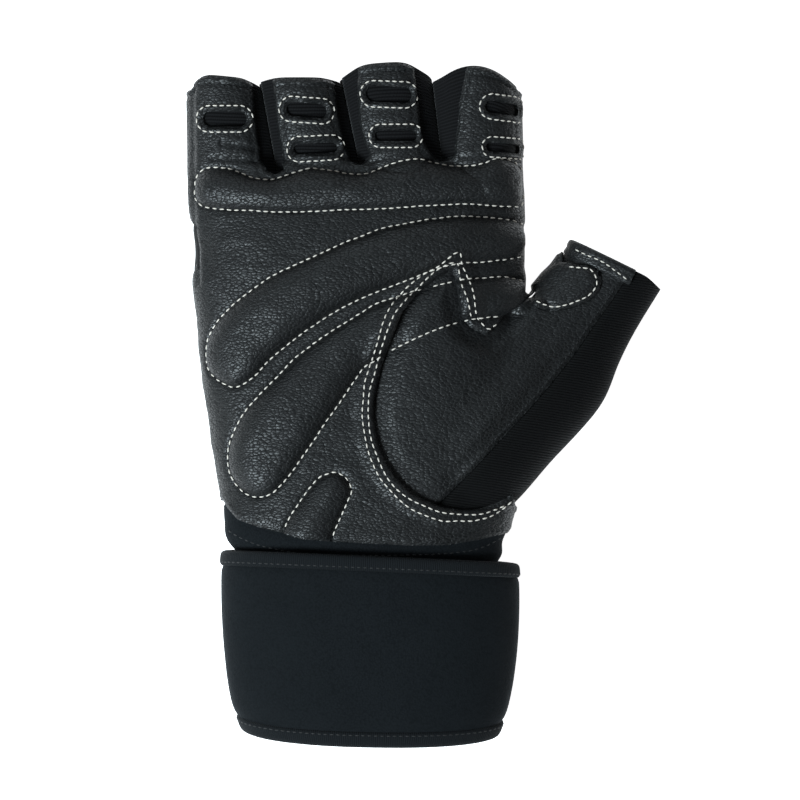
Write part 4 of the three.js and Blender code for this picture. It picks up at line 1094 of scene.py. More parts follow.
class Graph:
    """A material whose nodes are made by one method."""

    def __init__(self, name: str) -> None:
        self.material = bpy.data.materials.new(name)
        self.material.use_nodes = True
        self.tree = self.material.node_tree
        self.tree.nodes.clear()

    def node(self, kind: str, inputs: Inputs | None = None, **settings: object) -> bpy.types.Node:
        """Makes a node.

        Args:
            kind: The node's type, without its family's prefix.
            inputs: What its inputs are linked or set to, by name or number.
            settings: The node's own properties.

        Returns:
            The node.
        """
        made = self.tree.nodes.new(f"ShaderNode{kind}")
        for name, value in settings.items():
            setattr(made, name, value)
        for name, value in (inputs or {}).items():
            source = value.socket if isinstance(value, Value) else value
            if isinstance(source, bpy.types.NodeSocket):
                self.tree.links.new(source, made.inputs[name])
            else:
                made.inputs[name].default_value = source
        return made

    def value(
        self, kind: str, inputs: Inputs | None = None, output: str | int = 0, **settings: object
    ) -> Value:
        """Makes a node and hands back one of its outputs."""
        return Value(self, self.node(kind, inputs, **settings).outputs[output])

    def math(self, operation: str, first: object, second: object = 0.0) -> Value:
        """One step of arithmetic."""
        return self.value("Math", {0: first, 1: second}, operation=operation)

    def wave(self, at: Value, width: float) -> Value:
        """Rounded ridges of a width in millimetres."""
        return self.math("ABSOLUTE", self.math("SINE", at * (math.pi / width)))

    def millimetres(self, stretch: Triple = (1, 1, 1)) -> Value:
        """Object coordinates in millimetres, stretched."""
        source = self.value("TexCoord", output="Object")
        return self.value("Mapping", {"Vector": source, "Scale": [s / MM for s in stretch]})

    def sheet(self) -> Value:
        """The piece's own UV map in millimetres."""
        source = self.value("UVMap", uv_map="cloth")
        return self.value("Mapping", {"Vector": source, "Scale": [1 / MM] * 3})

    def noise(self, at: Value, size: float, detail: float = 2.0, roughness: float = 0.5) -> Value:
        """Noise whose cells have a size in millimetres."""
        inputs = {"Vector": at, "Scale": 1 / size, "Detail": detail, "Roughness": roughness}
        return self.value("TexNoise", inputs, "Fac")

    def warped(self, at: Value, size: float, amount: float) -> Value:
        """Coordinates pushed about by noise."""
        colour = self.value("TexNoise", {"Vector": at, "Scale": 1 / size, "Detail": 2.0}, "Color")
        centred = self.value("VectorMath", {0: colour, 1: (0.5, 0.5, 0.5)}, operation="SUBTRACT")
        scaled = self.value("VectorMath", {0: centred, "Scale": amount}, operation="SCALE")
        return self.value("VectorMath", {0: at, 1: scaled}, operation="ADD")

    def cells(self, at: Value, size: float, feature: str = "DISTANCE_TO_EDGE") -> Value:
        """Cells of a size in millimetres."""
        inputs = {"Vector": at, "Scale": 1 / size, "Randomness": 0.92}
        return self.value("TexVoronoi", inputs, "Distance", feature=feature)

    def split(self, at: Value, axis: str) -> Value:
        """One axis of a vector."""
        return self.value("SeparateXYZ", {0: at}, axis)

    def bump(self, height: Value, depth: float, under: Value | None = None) -> Value:
        """A normal for a height between 0 and 1 that stands for a depth in millimetres."""
        inputs = {"Height": height, "Distance": depth * MM, "Strength": 1.0}
        if under is not None:
            inputs["Normal"] = under
        return self.value("Bump", inputs)

    def mixed(self, share: Value, first: Sequence[float], second: Sequence[float]) -> Value:
        """A colour between two colours."""
        inputs = {"Factor": share, 6: (*first, 1), 7: (*second, 1)}
        return self.value("Mix", inputs, 2, data_type="RGBA")

    def surface(
        self, colour: Value, roughness: Value | float, normal: Value | None = None,
        sheen: float = 0.0, tint: Triple = (1, 1, 1), specular: float = 0.5, glow: float = 0.0,
    ) -> bpy.types.Material:
        """Ends the material in one principled surface."""
        inputs = {
            "Base Color": colour, "Roughness": roughness, "Sheen Weight": sheen, "Sheen Roughness": 0.4,
            "Sheen Tint": (*tint, 1), "Specular IOR Level": specular, "Emission Strength": glow,
        }
        if normal is not None:
            inputs["Normal"] = normal
        shader = self.value("BsdfPrincipled", inputs)
        self.node("OutputMaterial", {"Surface": shader})
        return self.material


@dataclass(frozen=True)
class Leather:
    """Grained leather: pebbles parted by fine creases, whose colour is darkened as painted shade."""

    name: str
    # The creases' colour, darkened as painted shade, and the pebbles' own colour.
    dark: Triple = (0.0004, 0.0005, 0.0006)
    light: Triple = (0.0028, 0.0035, 0.0039)
    pebble: float = 1.0
    depth: float = 0.045
    dome: float = 0.1
    gloss: float = 0.43
    crease: float = 0.28
    specular: float = 0.45
    stretch: Triple = (0.66, 1.2, 1)
    # Sizes of the noises, and how far the first two push the pebbles and the wrinkles about.
    pebble_warp: tuple[float, float] = (3.2, 1.5)
    wrinkle_warp: tuple[float, float] = (8.0, 6.0)
    wrinkle_size: float = 3.0
    fine_size: float = 0.45
    broad_size: float = 9.0
    swell: float = 1.6
    parting: tuple[float, float] = (0.01, 0.15)
    parting_gloss: float = 0.45

    def make(self) -> bpy.types.Material:
        """Makes the material."""
        graph = Graph(self.name)
        flat = graph.millimetres(self.stretch)
        at = graph.warped(flat, *self.pebble_warp)
        edge = graph.cells(at, self.pebble)
        middle = graph.cells(at, self.pebble, "F1")
        dome = 1 - middle * middle * self.swell
        fine = graph.noise(at, self.fine_size, 3.0)
        pebbles = (edge + (fine - 0.5) * 0.08).between(*self.parting)
        broad = graph.noise(flat, self.broad_size, 3.0)
        wrinkle = graph.noise(graph.warped(flat, *self.wrinkle_warp), self.wrinkle_size, 4.0, 0.6)
        normal = graph.bump(wrinkle, self.crease)
        normal = graph.bump(dome + 0.25 * fine, self.dome, normal)
        normal = graph.bump(pebbles, self.depth, normal)
        # The colour is darkened in the creases as painted shade, and varies at random with the broad noise.
        share = pebbles * (0.55 + 0.6 * broad)
        roughness = (1 - pebbles) * self.parting_gloss + (broad * 0.12 + self.gloss - 0.06)
        colour = graph.mixed(share, self.dark, self.light)
        return graph.surface(colour, roughness, normal, specular=self.specular)


class Rows(Enum):
    """Which way a knit's ribs are counted on the piece's own UV map."""

    ALONG = "along"
    ACROSS = "across"


@dataclass(frozen=True)
class Knit:
    """Knit or ribbed cloth, in rows along the piece's own UV map, darker between the ribs as painted shade.
    """

    name: str
    # The colour between the ribs, darkened as painted shade, and on their tops.
    dark: Triple = (0.0016, 0.0016, 0.0019)
    light: Triple = (0.0062, 0.0063, 0.007)
    rib: float = 1.0
    loop: float = 0.8
    depth: float = 0.25
    sheen: float = 0.08
    specular: float = 0.15
    wobble_size: float = 6.0
    wobble: float = 0.5
    fibre_size: float = 0.3
    rows: Rows = Rows.ALONG

    def make(self) -> bpy.types.Material:
        """Makes the material."""
        graph = Graph(self.name)
        at = graph.sheet()
        u, v = graph.split(at, "X"), graph.split(at, "Y")
        if self.rows is Rows.ALONG:
            u, v = v, u
        wobble = graph.noise(at, self.wobble_size) * self.wobble
        rib = graph.wave(u + wobble, self.rib)
        lean = graph.wave(v + u * LOOP_SLANT, self.loop)
        fibre = graph.noise(at, self.fibre_size, 3.0)
        height = rib * 0.7 + lean * 0.3 * rib + fibre * 0.2
        normal = graph.bump(height, self.depth)
        # The colour follows the height, so the gaps between ribs are darker as painted shade.
        colour = graph.mixed(height.between(0.25, 1.1), self.dark, self.light)
        return graph.surface(colour, 0.85 + fibre * 0.1, normal, self.sheen, specular=self.specular)


@dataclass(frozen=True)
class Cloth:
    """A smooth stretch cloth with a fine face, read in the object's own place, darker in the face's hollows
    as painted shade.
    """

    name: str
    # The colour in the face's hollows, darkened as painted shade, and on its threads.
    dark: Triple = (0.0036, 0.0047, 0.0056)
    light: Triple = (0.0066, 0.0082, 0.0096)
    thread: float = 0.62
    depth: float = 0.11
    sheen: float = 0.05
    tint: Triple = (0.8, 0.9, 1.0)
    specular: float = 0.08
    fibre_size: float = 0.35
    broad_size: float = 14.0
    broad_depth: float = 0.5

    def make(self) -> bpy.types.Material:
        """Makes the material."""
        graph = Graph(self.name)
        at = graph.millimetres()
        speck = graph.cells(at, self.thread, "F1")
        fibre = graph.noise(at, self.fibre_size, 3.0)
        broad = graph.noise(at, self.broad_size, 3.0)
        height = (1 - speck) * 0.8 + fibre * 0.3
        normal = graph.bump(broad, self.broad_depth)
        normal = graph.bump(height, self.depth, normal)
        # The colour is darker where the face is low, as painted shade, and varies at random with the broad
        # noise.
        colour = graph.mixed((height * 1.1 + broad * 0.4 - 0.2).between(0.1, 1.0), self.dark, self.light)
        return graph.surface(colour, 0.8 + fibre * 0.12, normal, self.sheen, self.tint, self.specular)


@dataclass(frozen=True)
class Thread:
    """Twisted sewing thread."""

    name: str
    colour: Triple = (0.74, 0.68, 0.60)
    sheen: float = 0.3
    strand: float = 0.25
    depth: float = 0.08
    shade: float = 0.72

    def make(self) -> bpy.types.Material:
        """Makes the material."""
        graph = Graph(self.name)
        at = graph.millimetres()
        strand = graph.noise(at, self.strand, 2.0)
        normal = graph.bump(strand, self.depth)
        low = tuple(c * self.shade for c in self.colour)
        colour = graph.mixed(strand.between(0.25, 0.7), low, self.colour)
        return graph.surface(colour, 0.65, normal, sheen=self.sheen)


class Finishes:
    """Every finish of the glove."""

    def __init__(self) -> None:
        self.palm = Leather("grained_leather").make()
        self.thumb = Leather(
            "smooth_leather", dark=(0.0008, 0.0010, 0.0012), light=(0.0026, 0.0033, 0.0037),
            depth=0.04, dome=0.085, gloss=0.42, crease=0.26,
        ).make()
        self.knit = Knit("ribbed_knit").make()
        self.mesh = Knit(
            "ribbed_mesh", dark=(0.0005, 0.0005, 0.0006), light=(0.0026, 0.0027, 0.0029),
            rib=0.84, depth=0.3, sheen=0.03, rows=Rows.ACROSS,
        ).make()
        self.stretch = Cloth(
            "stretch_fabric", dark=(0.003, 0.003, 0.0034), light=(0.0068, 0.0068, 0.0074),
            sheen=0.08, tint=(1, 1, 1),
        ).make()
        self.neoprene = Cloth("knit_faced_neoprene").make()
        self.tape = Knit(
            "binding_tape", dark=(0.0034, 0.0044, 0.0053), light=(0.0066, 0.0082, 0.0096),
            rib=0.65, loop=0.6, depth=0.12, sheen=0.03, rows=Rows.ACROSS,
        ).make()
        self.thread = Thread("pale_thread").make()
        self.dark_thread = Thread("black_thread", (0.0045, 0.005, 0.0055), sheen=0.03).make()


# Stitches.


@dataclass(frozen=True)
class Stitching:
    """How a row of stitches is sewn, in millimetres."""

    pitch: float = 2.35
    length: float = 1.7
    thickness: float = 0.25
    rise: float = 0.1


def stitch_tree() -> bpy.types.GeometryNodeTree:
    """Builds the nodes that lay a thread at every point, along its direction and on its normal."""
    tree = bpy.data.node_groups.new("stitches", "GeometryNodeTree")
    for name, kind, way in (
        ("Geometry", "NodeSocketGeometry", "INPUT"),
        ("Length", "NodeSocketFloat", "INPUT"),
        ("Thickness", "NodeSocketFloat", "INPUT"),
        ("Jitter", "NodeSocketFloat", "INPUT"),
        ("Thread", "NodeSocketMaterial", "INPUT"),
        ("Geometry", "NodeSocketGeometry", "OUTPUT"),
    ):
        tree.interface.new_socket(name, in_out=way, socket_type=kind)
    start, end = tree.nodes.new("NodeGroupInput"), tree.nodes.new("NodeGroupOutput")

    def node(kind: str, inputs: Inputs | None = None, **settings: str) -> bpy.types.Node:
        """Makes a node with its inputs and settings."""
        made = tree.nodes.new(kind)
        for name, value in settings.items():
            setattr(made, name, value)
        for name, value in (inputs or {}).items():
            made.inputs[name].default_value = value
        return made

    capsule = node("GeometryNodeMeshUVSphere", {"Segments": 8, "Rings": 6, "Radius": 0.5})
    along, out = (
        node("GeometryNodeInputNamedAttribute", {"Name": name}, data_type="FLOAT_VECTOR")
        for name in ("along", "out")
    )
    span = {"Min": (-1, -1, -1), "Max": (1, 1, 1), "Seed": SEED}
    shake = node("FunctionNodeRandomValue", span, data_type="FLOAT_VECTOR")
    shaken = node("ShaderNodeVectorMath", operation="SCALE")
    turned = node("ShaderNodeVectorMath")
    axes = node("FunctionNodeAxesToRotation", primary_axis="X", secondary_axis="Z")
    size = node("ShaderNodeCombineXYZ")
    lay = node("GeometryNodeInstanceOnPoints")
    real = node("GeometryNodeRealizeInstances")
    smooth = node("GeometryNodeSetShadeSmooth")
    finish = node("GeometryNodeSetMaterial")
    for source, target in (
        (shake.outputs[0], shaken.inputs[0]),
        (start.outputs["Jitter"], shaken.inputs["Scale"]),
        (along.outputs[0], turned.inputs[0]),
        (shaken.outputs[0], turned.inputs[1]),
        (turned.outputs[0], axes.inputs["Primary Axis"]),
        (out.outputs[0], axes.inputs["Secondary Axis"]),
        (start.outputs["Length"], size.inputs["X"]),
        (start.outputs["Thickness"], size.inputs["Y"]),
        (start.outputs["Thickness"], size.inputs["Z"]),
        (start.outputs["Geometry"], lay.inputs["Points"]),
        (capsule.outputs["Mesh"], lay.inputs["Instance"]),
        (axes.outputs[0], lay.inputs["Rotation"]),
        (size.outputs[0], lay.inputs["Scale"]),
        (lay.outputs[0], real.inputs[0]),
        (real.outputs[0], smooth.inputs[0]),
        (smooth.outputs[0], finish.inputs["Geometry"]),
        (start.outputs["Thread"], finish.inputs["Material"]),
        (finish.outputs[0], end.inputs[0]),
    ):
        tree.links.new(source, target)
    return tree


@dataclass
class Sewing:
    """Lays rows of stitches over pieces."""

    tree: bpy.types.GeometryNodeTree = field(default_factory=stitch_tree)
    jitter: float = 0.09
    steps: int = 4
    clearance: float = 90.0
    longest: float = 1.6
    # Where the lower pad's row runs on over the thumb: inside the opening, in parts of a least size.
    margin: float = 0.6
    gap: float = 3.0
    least: int = 6

    def row(
        self, line: Array, surface: BVHTree, stitching: Stitching, closed: bool = False,
        out: Sequence[float] = (0.0, 0.0, 1.0), height: float = 70.0,
    ) -> Array:
        """Finds where a row's stitches lie.

        Args:
            line: The row's places, seen from above, or in space beside the piece.
            surface: What the row is sewn on.
            stitching: How it is sewn.
            closed: Whether the row returns to its start.
            out: The direction that the row is dropped from.
            height: How far along that direction it starts.

        Returns:
            A row of nine numbers for each stitch: its place, its direction and its normal.
        """
        drop = np.array(out)
        if line.shape[1] == 2:
            line = np.column_stack((line, np.zeros(len(line))))
        line = even_line(np.vstack((line, line[:1])) if closed else line, stitching.pitch / self.steps)
        starts = [Vector(place + drop * height) for place in line]
        hits = [surface.ray_cast(start, Vector(-drop), self.clearance)[:2] for start in starts]
        made = []
        for i in range(2, len(hits) - 2, self.steps):
            if any(hit is None for hit, _ in hits[i - 1 : i + 2]):
                continue
            before, on, after = (np.array(hit) for hit, _ in hits[i - 1 : i + 2])
            normal = np.array(hits[i][1])
            along = after - before
            size = np.linalg.norm(along)
            if 1e-6 <= size <= stitching.pitch * self.longest:
                made.append(np.concatenate((on + normal * stitching.rise, along / size, normal)))
        return np.array(made) if made else np.zeros((0, 9))

    def thread(
        self, name: str, rows: Sequence[Array], stitching: Stitching, material: bpy.types.Material,
        slot: str,
    ) -> None:
        """Makes one piece of rows of stitches."""
        rows = np.concatenate(rows)
        mesh = bpy.data.meshes.new(name)
        mesh.vertices.add(len(rows))
        mesh.vertices.foreach_set("co", placed(rows[:, :3]).astype(np.float32).ravel())
        for key, columns in (("along", slice(3, 6)), ("out", slice(6, 9))):
            attribute = mesh.attributes.new(key, "FLOAT_VECTOR", "POINT")
            attribute.data.foreach_set("vector", rows[:, columns].astype(np.float32).ravel())
        obj = linked(name, mesh)
        modifier = obj.modifiers.new("stitches", "NODES")
        modifier.node_group = self.tree
        values = {
            "Length": stitching.length * MM, "Thickness": stitching.thickness * 2 * MM,
            "Jitter": self.jitter, "Thread": material,
        }
        for item in self.tree.interface.items_tree:
            if item.in_out == "INPUT" and item.name in values:
                modifier[item.identifier] = values[item.name]
        settled(obj)
        obj.data.materials.clear()
        obj.data.materials.append(material)
        declared(obj, slot)


# Leather.


@dataclass
class Relief:
    """How the palm leather stands out over the hand: pads, seams, welts and creases."""

    hand: Hand
    pattern: Pattern
    pad: float = 3.6
    pad_edge: float = 8.0
    pad_round: float = 0.75
    pad_shares: Sequence[float] = (1.0, 1.1, 1.0, 0.8)
    welt: float = 0.5
    welt_band: Sequence[float] = (0.1, 1.0, 1.4, 2.2)
    hem: float = 0.7
    hem_band: Sequence[float] = (0.0, 0.9, 4.0, 7.8)
    turned: float = 2.3
    facing: tuple[float, float] = (0.2, 0.75)
    fold_size: float = 5.5
    fold_stretch: Triple = (0.55, 1.0, 0.6)
    fold_height: float = 0.22

    def pads(self, flat: Array) -> Array:
        """The pads' rise over places seen from above."""
        rise = np.zeros(len(flat))
        pattern = self.pattern
        outlines = (pattern.knuckle, pattern.upper, pattern.lower, pattern.heel)
        for outline, share in zip(outlines, self.pad_shares):
            deep = -out_of(flat, smooth_line(outline, PAD_STEP, closed=True))
            run = np.clip(deep / self.pad_edge, 0, 1)
            pillow = (1 - (1 - run) ** 2) ** self.pad_round
            rise += share * self.pad * pillow - Groove.PAD.at(deep)
        return rise

    def creases(self, points: Array) -> Array:
        """Soft waves and small folds of worn leather."""
        stretched = points * np.array(self.fold_stretch)
        fold = 1 - np.abs(value_noise(stretched, self.fold_size, FOLD_SEED))
        broad = Wave.PALM_BROAD.over(points) + Wave.PALM_FINE.over(points)
        return broad + self.fold_height * (fold - 0.6)

    def palm(self, sheet: Sheet) -> Array:
        """The rise over the palm panel's outer side."""
        points, pattern = sheet.points, self.pattern
        flat = points[:, :2]
        rise = self.creases(points)
        rise += self.pads(flat) * smoothstep(*self.facing, sheet.normals[:, 2])
        opened = -pattern.into_opening(points)
        slots = -pattern.into_slots(self.hand, points)
        rise += self.hem * band(opened, *self.hem_band) + self.welt * band(slots, *self.welt_band)
        loops = [slot.distance(self.hand, points, loop=True) for slot in pattern.slots]
        rise -= Groove.STITCHED.at(np.minimum.reduce(np.abs(loops)))
        on_fingers = flat[:, 1] > pattern.seam_from
        rise -= Groove.FINGER_END.at(-self.hand.finger_end(points) - self.turned) * on_fingers
        for line in (pattern.side_seam, *pattern.folds):
            away, _ = to_line(flat, smooth_line(line, 1.0))
            rise -= Groove.FOLD.at(away) - Groove.BESIDE_FOLD.at(away - 1.6)
        sides = -pattern.panel(self.hand, points)
        rise -= Groove.STITCHED.at(sides - self.turned) * on_fingers
        rise -= rolled(np.minimum.reduce((sides, opened, slots)), 0.85)
        return rise


@dataclass
class PalmPanel:
    """The palm leather with its finger fronts, slots and pads."""

    hand: Hand
    pattern: Pattern
    leather: float = 1.6
    level: float = 0.3
    voxel: float = 0.72
    smoothing: int = 10
    cut_reach: float = 0.3

    def make(self, finishes: Finishes) -> BVHTree:
        """Makes the panel and hands back what its seams are sewn on."""
        hand, pattern = self.hand, self.pattern
        sheet = hand.surface(self.voxel, self.smoothing).raised(self.level + self.leather)
        sheet = sheet.chosen(lambda p: p[:, 2] > pattern.seam_height - 3)
        for measure in (
            lambda p: pattern.panel(hand, p), pattern.into_opening, lambda p: pattern.into_slots(hand, p)
        ):
            sheet = sheet.cut(measure, self.voxel * self.cut_reach)
        sheet = sheet.largest()
        outer = sheet.raised(Relief(hand, pattern).palm(sheet))
        piece = Piece("grained_palm", finishes.palm, "palm_leather", "palm_panel", fill=0.5)
        return piece.shell(outer, sheet.raised(-self.leather))


@dataclass
class ThumbPieces:
    """The thumb's leather, its ribbed back, its hem and the patch in its crotch."""

    hand: Hand
    pattern: Pattern
    sheet: Sheet
    fabric: float = 1.4
    lap_width: float = 1.2
    lap_depth: float = 1.9
    hem_width: float = 5.0
    heel_rise: float = 0.9
    patch: float = 2.2
    patch_edge: float = 3.2
    mound: tuple[float, float] = (462, 375)
    mound_reach: float = 26.0
    mound_rise: float = 3.0
    # How often the leather is drawn over the hollow, and from how deep and how level it is.
    drawn: int = 220
    drawn_depth: tuple[float, float] = (1.5, 7.0)
    drawn_level: tuple[float, float] = (0.1, 0.4)
    zone_left: float = -5.0
    zone_end: float = 112.0
    sunk: float = 0.1
    cut_reach: float = 0.25
    end_round: tuple[float, float, float] = (0.55, 1.1, 1.8)
    back_turn: tuple[float, float, float] = (1.4, 13.0, 0.15)
    fold_turn: tuple[float, float, int] = (178, 74, 48)
    # The fold's section: how far along the thumb and out of it, from the hem's end and from the thumb's.
    fold_start: Points = ((0.5, 0.25), (0, 0.6), (0.4, 1.15), (1.0, 1.4))
    fold_end: Points = (
        (-2.4, 1.15), (-1.4, 1.4), (-0.4, 1.35), (0.2, 0.9), (0.35, 0.2), (0.3, -0.6), (0, -1.3),
        (-0.5, -1.6), (-0.7, -1.5), (-0.2, -0.8), (-0.1, 0.0), (-0.5, 0.25),
    )
    # The patch's box, by its lowest and highest corner.
    patch_box: tuple[Triple, Triple] = ((48, 55, 10), (90, 100, 99))
    patch_low: float = 11.5
    patch_level: float = 0.3
    patch_under: float = 0.15
    patch_reach: float = 0.3

    def zone(self, sheet: Sheet) -> Sheet:
        """The part of the skin that the thumb's pieces cover."""
        made = sheet.chosen(lambda p: (p[:, 0] > self.zone_left) & (p[:, 1] < self.zone_end))
        made = made.cut(lambda p: self.pattern.thumb_zone(self.hand, p), self.cut_reach)
        return made.cut(self.rounded_end, self.cut_reach)

    def rounded_end(self, points: Array) -> Array:
        """How far points lie past the thumb's end, which is rounded off at its outer side."""
        _, across, _ = self.hand.thumb_place(points)
        start, end, depth = self.end_round
        outside = smoothstep(start, end, across / (self.hand.thumb_width / 2))
        return self.hand.thumb_end(points) + depth * outside

    def filled(self, sheet: Sheet) -> Sheet:
        """Draws the leather smoothly over the hollow between the palm and the thumb."""
        pattern, points = self.pattern, sheet.points.copy()
        deep = np.minimum(pattern.into_opening(points), -pattern.thumb_leather(self.hand, points))
        share = smoothstep(*self.drawn_depth, deep) * smoothstep(*self.drawn_level, sheet.normals[:, 2])
        first, second = np.concatenate([sheet.faces[:, [a, b]] for a, b in ((0, 1), (1, 2), (2, 0))]).T
        count = np.bincount(first, minlength=len(points)).clip(1)
        height = points[:, 2].copy()
        for _ in range(self.drawn):
            mean = np.bincount(first, weights=height[second], minlength=len(points)) / count
            height += (np.where(count > 1, mean, height) - height) * share
        middle = traced([self.mound])[0]
        off = np.linalg.norm(points[:, :2] - middle, axis=1) / self.mound_reach
        points[:, 2] = height + self.mound_rise * share * np.exp(-(off**2))
        return Sheet(points, sheet.faces, sheet.normals)

    def leather(self, finishes: Finishes) -> BVHTree:
        """Makes the thumb's leather, and hands back what its seams are sewn on."""
        pattern, hand = self.pattern, self.hand
        sheet = self.zone(self.sheet).cut(lambda p: pattern.thumb_leather(hand, p), self.cut_reach)
        sheet = self.filled(sheet.largest())
        edge = -pattern.thumb_leather(hand, sheet.points)
        rise = Wave.THUMB_BROAD.over(sheet.points) + Wave.THUMB_FINE.over(sheet.points)
        rise -= rolled(edge, 0.7)
        flat = sheet.points[:, :2]
        deep = -out_of(flat, smooth_line(pattern.lower, PAD_STEP, closed=True))
        rise += self.heel_rise * smoothstep(0, 5, deep) - Groove.THUMB_PAD.at(deep)
        sunk, _ = to_line(flat, traced(pattern.opening))
        rise -= Groove.THUMB_SEAM.at(sunk)
        piece = Piece("smooth_thumb", finishes.thumb, "thumb_leather", "thumb_panel")
        return piece.shell(sheet.raised(rise - self.sunk), sheet.raised(-self.fabric))

    def back(self, finishes: Finishes) -> None:
        """Makes the ribbed fabric round the thumb's back, whose edge lies under the leather's."""
        pattern, hand = self.pattern, self.hand
        sheet = self.zone(self.sheet).cut(
            lambda p: -self.lap_width - pattern.thumb_leather(hand, p), self.cut_reach
        ).largest()
        edge = pattern.thumb_leather(hand, sheet.points)
        under = self.lap_depth * (1 - smoothstep(-0.5, 0.5, edge))
        rise = Wave.THUMB_BACK.over(sheet.points) - rolled(edge, 0.9, 0.5, 1.9)
        points, faces = walled(sheet.raised(rise - under), sheet.raised(-self.fabric - under))
        _, across, above = hand.thumb_place(points)
        lift, girth, slant = self.back_turn
        around = np.arctan2(above * lift, across) * girth
        piece = Piece("ribbed_thumb", finishes.mesh, "ribbed_knit", "thumb_back")
        piece.made(points, faces, np.column_stack((points[:, 1] + slant * points[:, 0], around)))

    def folded(self, finishes: Finishes) -> BVHTree:
        """Makes the folded leather end of the thumb, along its leather side."""
        start, end, count = self.fold_turn
        turn = np.radians(np.linspace(start, end, count))
        section = [(push - self.hem_width, level) for push, level in self.fold_start]
        section += self.fold_end
        grid = np.stack([self.arc(level, turn, push) for push, level in section])
        points, faces = loft(grid.transpose(1, 0, 2))
        piece = Piece("thumb_fold", finishes.thumb, "thumb_leather", "thumb_hem", sharp=WOUND_SHARP)
        piece.made(points, faces)
        return tree_of(points, faces)

    def arc(self, level: float, turn: Array, push: float) -> Array:
        """Places round the thumb's end, grown by a level and pushed along its heading."""
        hand = self.hand
        _, across, along, half, middle, up, _, heading = hand.thumb[-1]
        angle = math.radians(heading)
        off = (half * hand.thumb_width + level) * squared(np.cos(turn), hand.thumb_round)
        x = across * hand.palm_width + push * math.sin(angle) + off * math.cos(angle)
        y = along * hand.palm_length + push * math.cos(angle) - off * math.sin(angle)
        rise = (up * hand.thumb_thickness + level) * squared(np.sin(turn), hand.thumb_round)
        return np.column_stack((x, y, middle * hand.thumb_thickness + rise))

    def cushion(self, finishes: Finishes) -> BVHTree:
        """Makes the padded patch in the thumb's crotch."""
        outline = smooth_line(self.pattern.patch, 1.0, closed=True)
        low, high = self.patch_box
        made = self.sheet.chosen(lambda p: ((p > low) & (p < high)).all(axis=1))
        made = made.cut(lambda p: out_of(p[:, :2], outline), self.patch_reach)
        made = made.cut(lambda p: self.patch_low - p[:, 2], self.patch_reach).largest()
        deep = -out_of(made.points[:, :2], outline)
        seam, _ = to_line(made.points[:, :2], traced(self.pattern.patch_row))
        run = np.clip(deep / self.patch_edge, 0, 1)
        rise = self.patch_level + self.patch * np.sqrt(np.clip(1 - (1 - run) ** 2, 0, 1))
        rise += Wave.PATCH.over(made.points) - Groove.PATCH.at(seam)
        piece = Piece("crotch_pad", finishes.palm, "palm_leather", "thumb_patch", fill=0.7)
        return piece.shell(made.raised(rise), made.raised(self.patch_under))


# Cloth.


@dataclass
class BackPanel:
    """The stretch back of the hand."""

    hand: Hand
    pattern: Pattern
    sheet: Sheet
    fabric: float = 1.4
    fullness: float = 3.3

    def beyond(self, points: Array) -> Array:
        """How far points lie outside the panel."""
        pattern, hand = self.pattern, self.hand
        high = points[:, 2] - pattern.seam(points) - pattern.fringe
        low = np.maximum(high, pattern.gap - pattern.cuff(points))
        ends = points[:, 1] - (hand.palm_length - pattern.root_lap - pattern.gap)
        return np.maximum.reduce((low, ends, pattern.gap - pattern.thumb_zone(hand, points)))

    def make(self, finishes: Finishes) -> None:
        """Makes the panel."""
        pattern = self.pattern
        highest = pattern.seam_height + pattern.seam_rise + pattern.fringe + 3
        sheet = self.sheet.chosen(lambda p: p[:, 2] < highest).cut(self.beyond, 0.3).largest()
        high = smoothstep(0.5, 4, sheet.points[:, 2])
        rise = Wave.BACK.over(sheet.points) * high
        rise += self.fullness * high * (pattern.seam(sheet.points) / pattern.seam_height - 1)
        outer = sheet.raised(rise)
        outer.points[:, 2] = np.maximum(outer.points[:, 2], 0.0)
        piece = Piece("stretch_back", finishes.stretch, "stretch_fabric", "back_panel")
        piece.made(*walled(outer, sheet.raised(-self.fabric)))


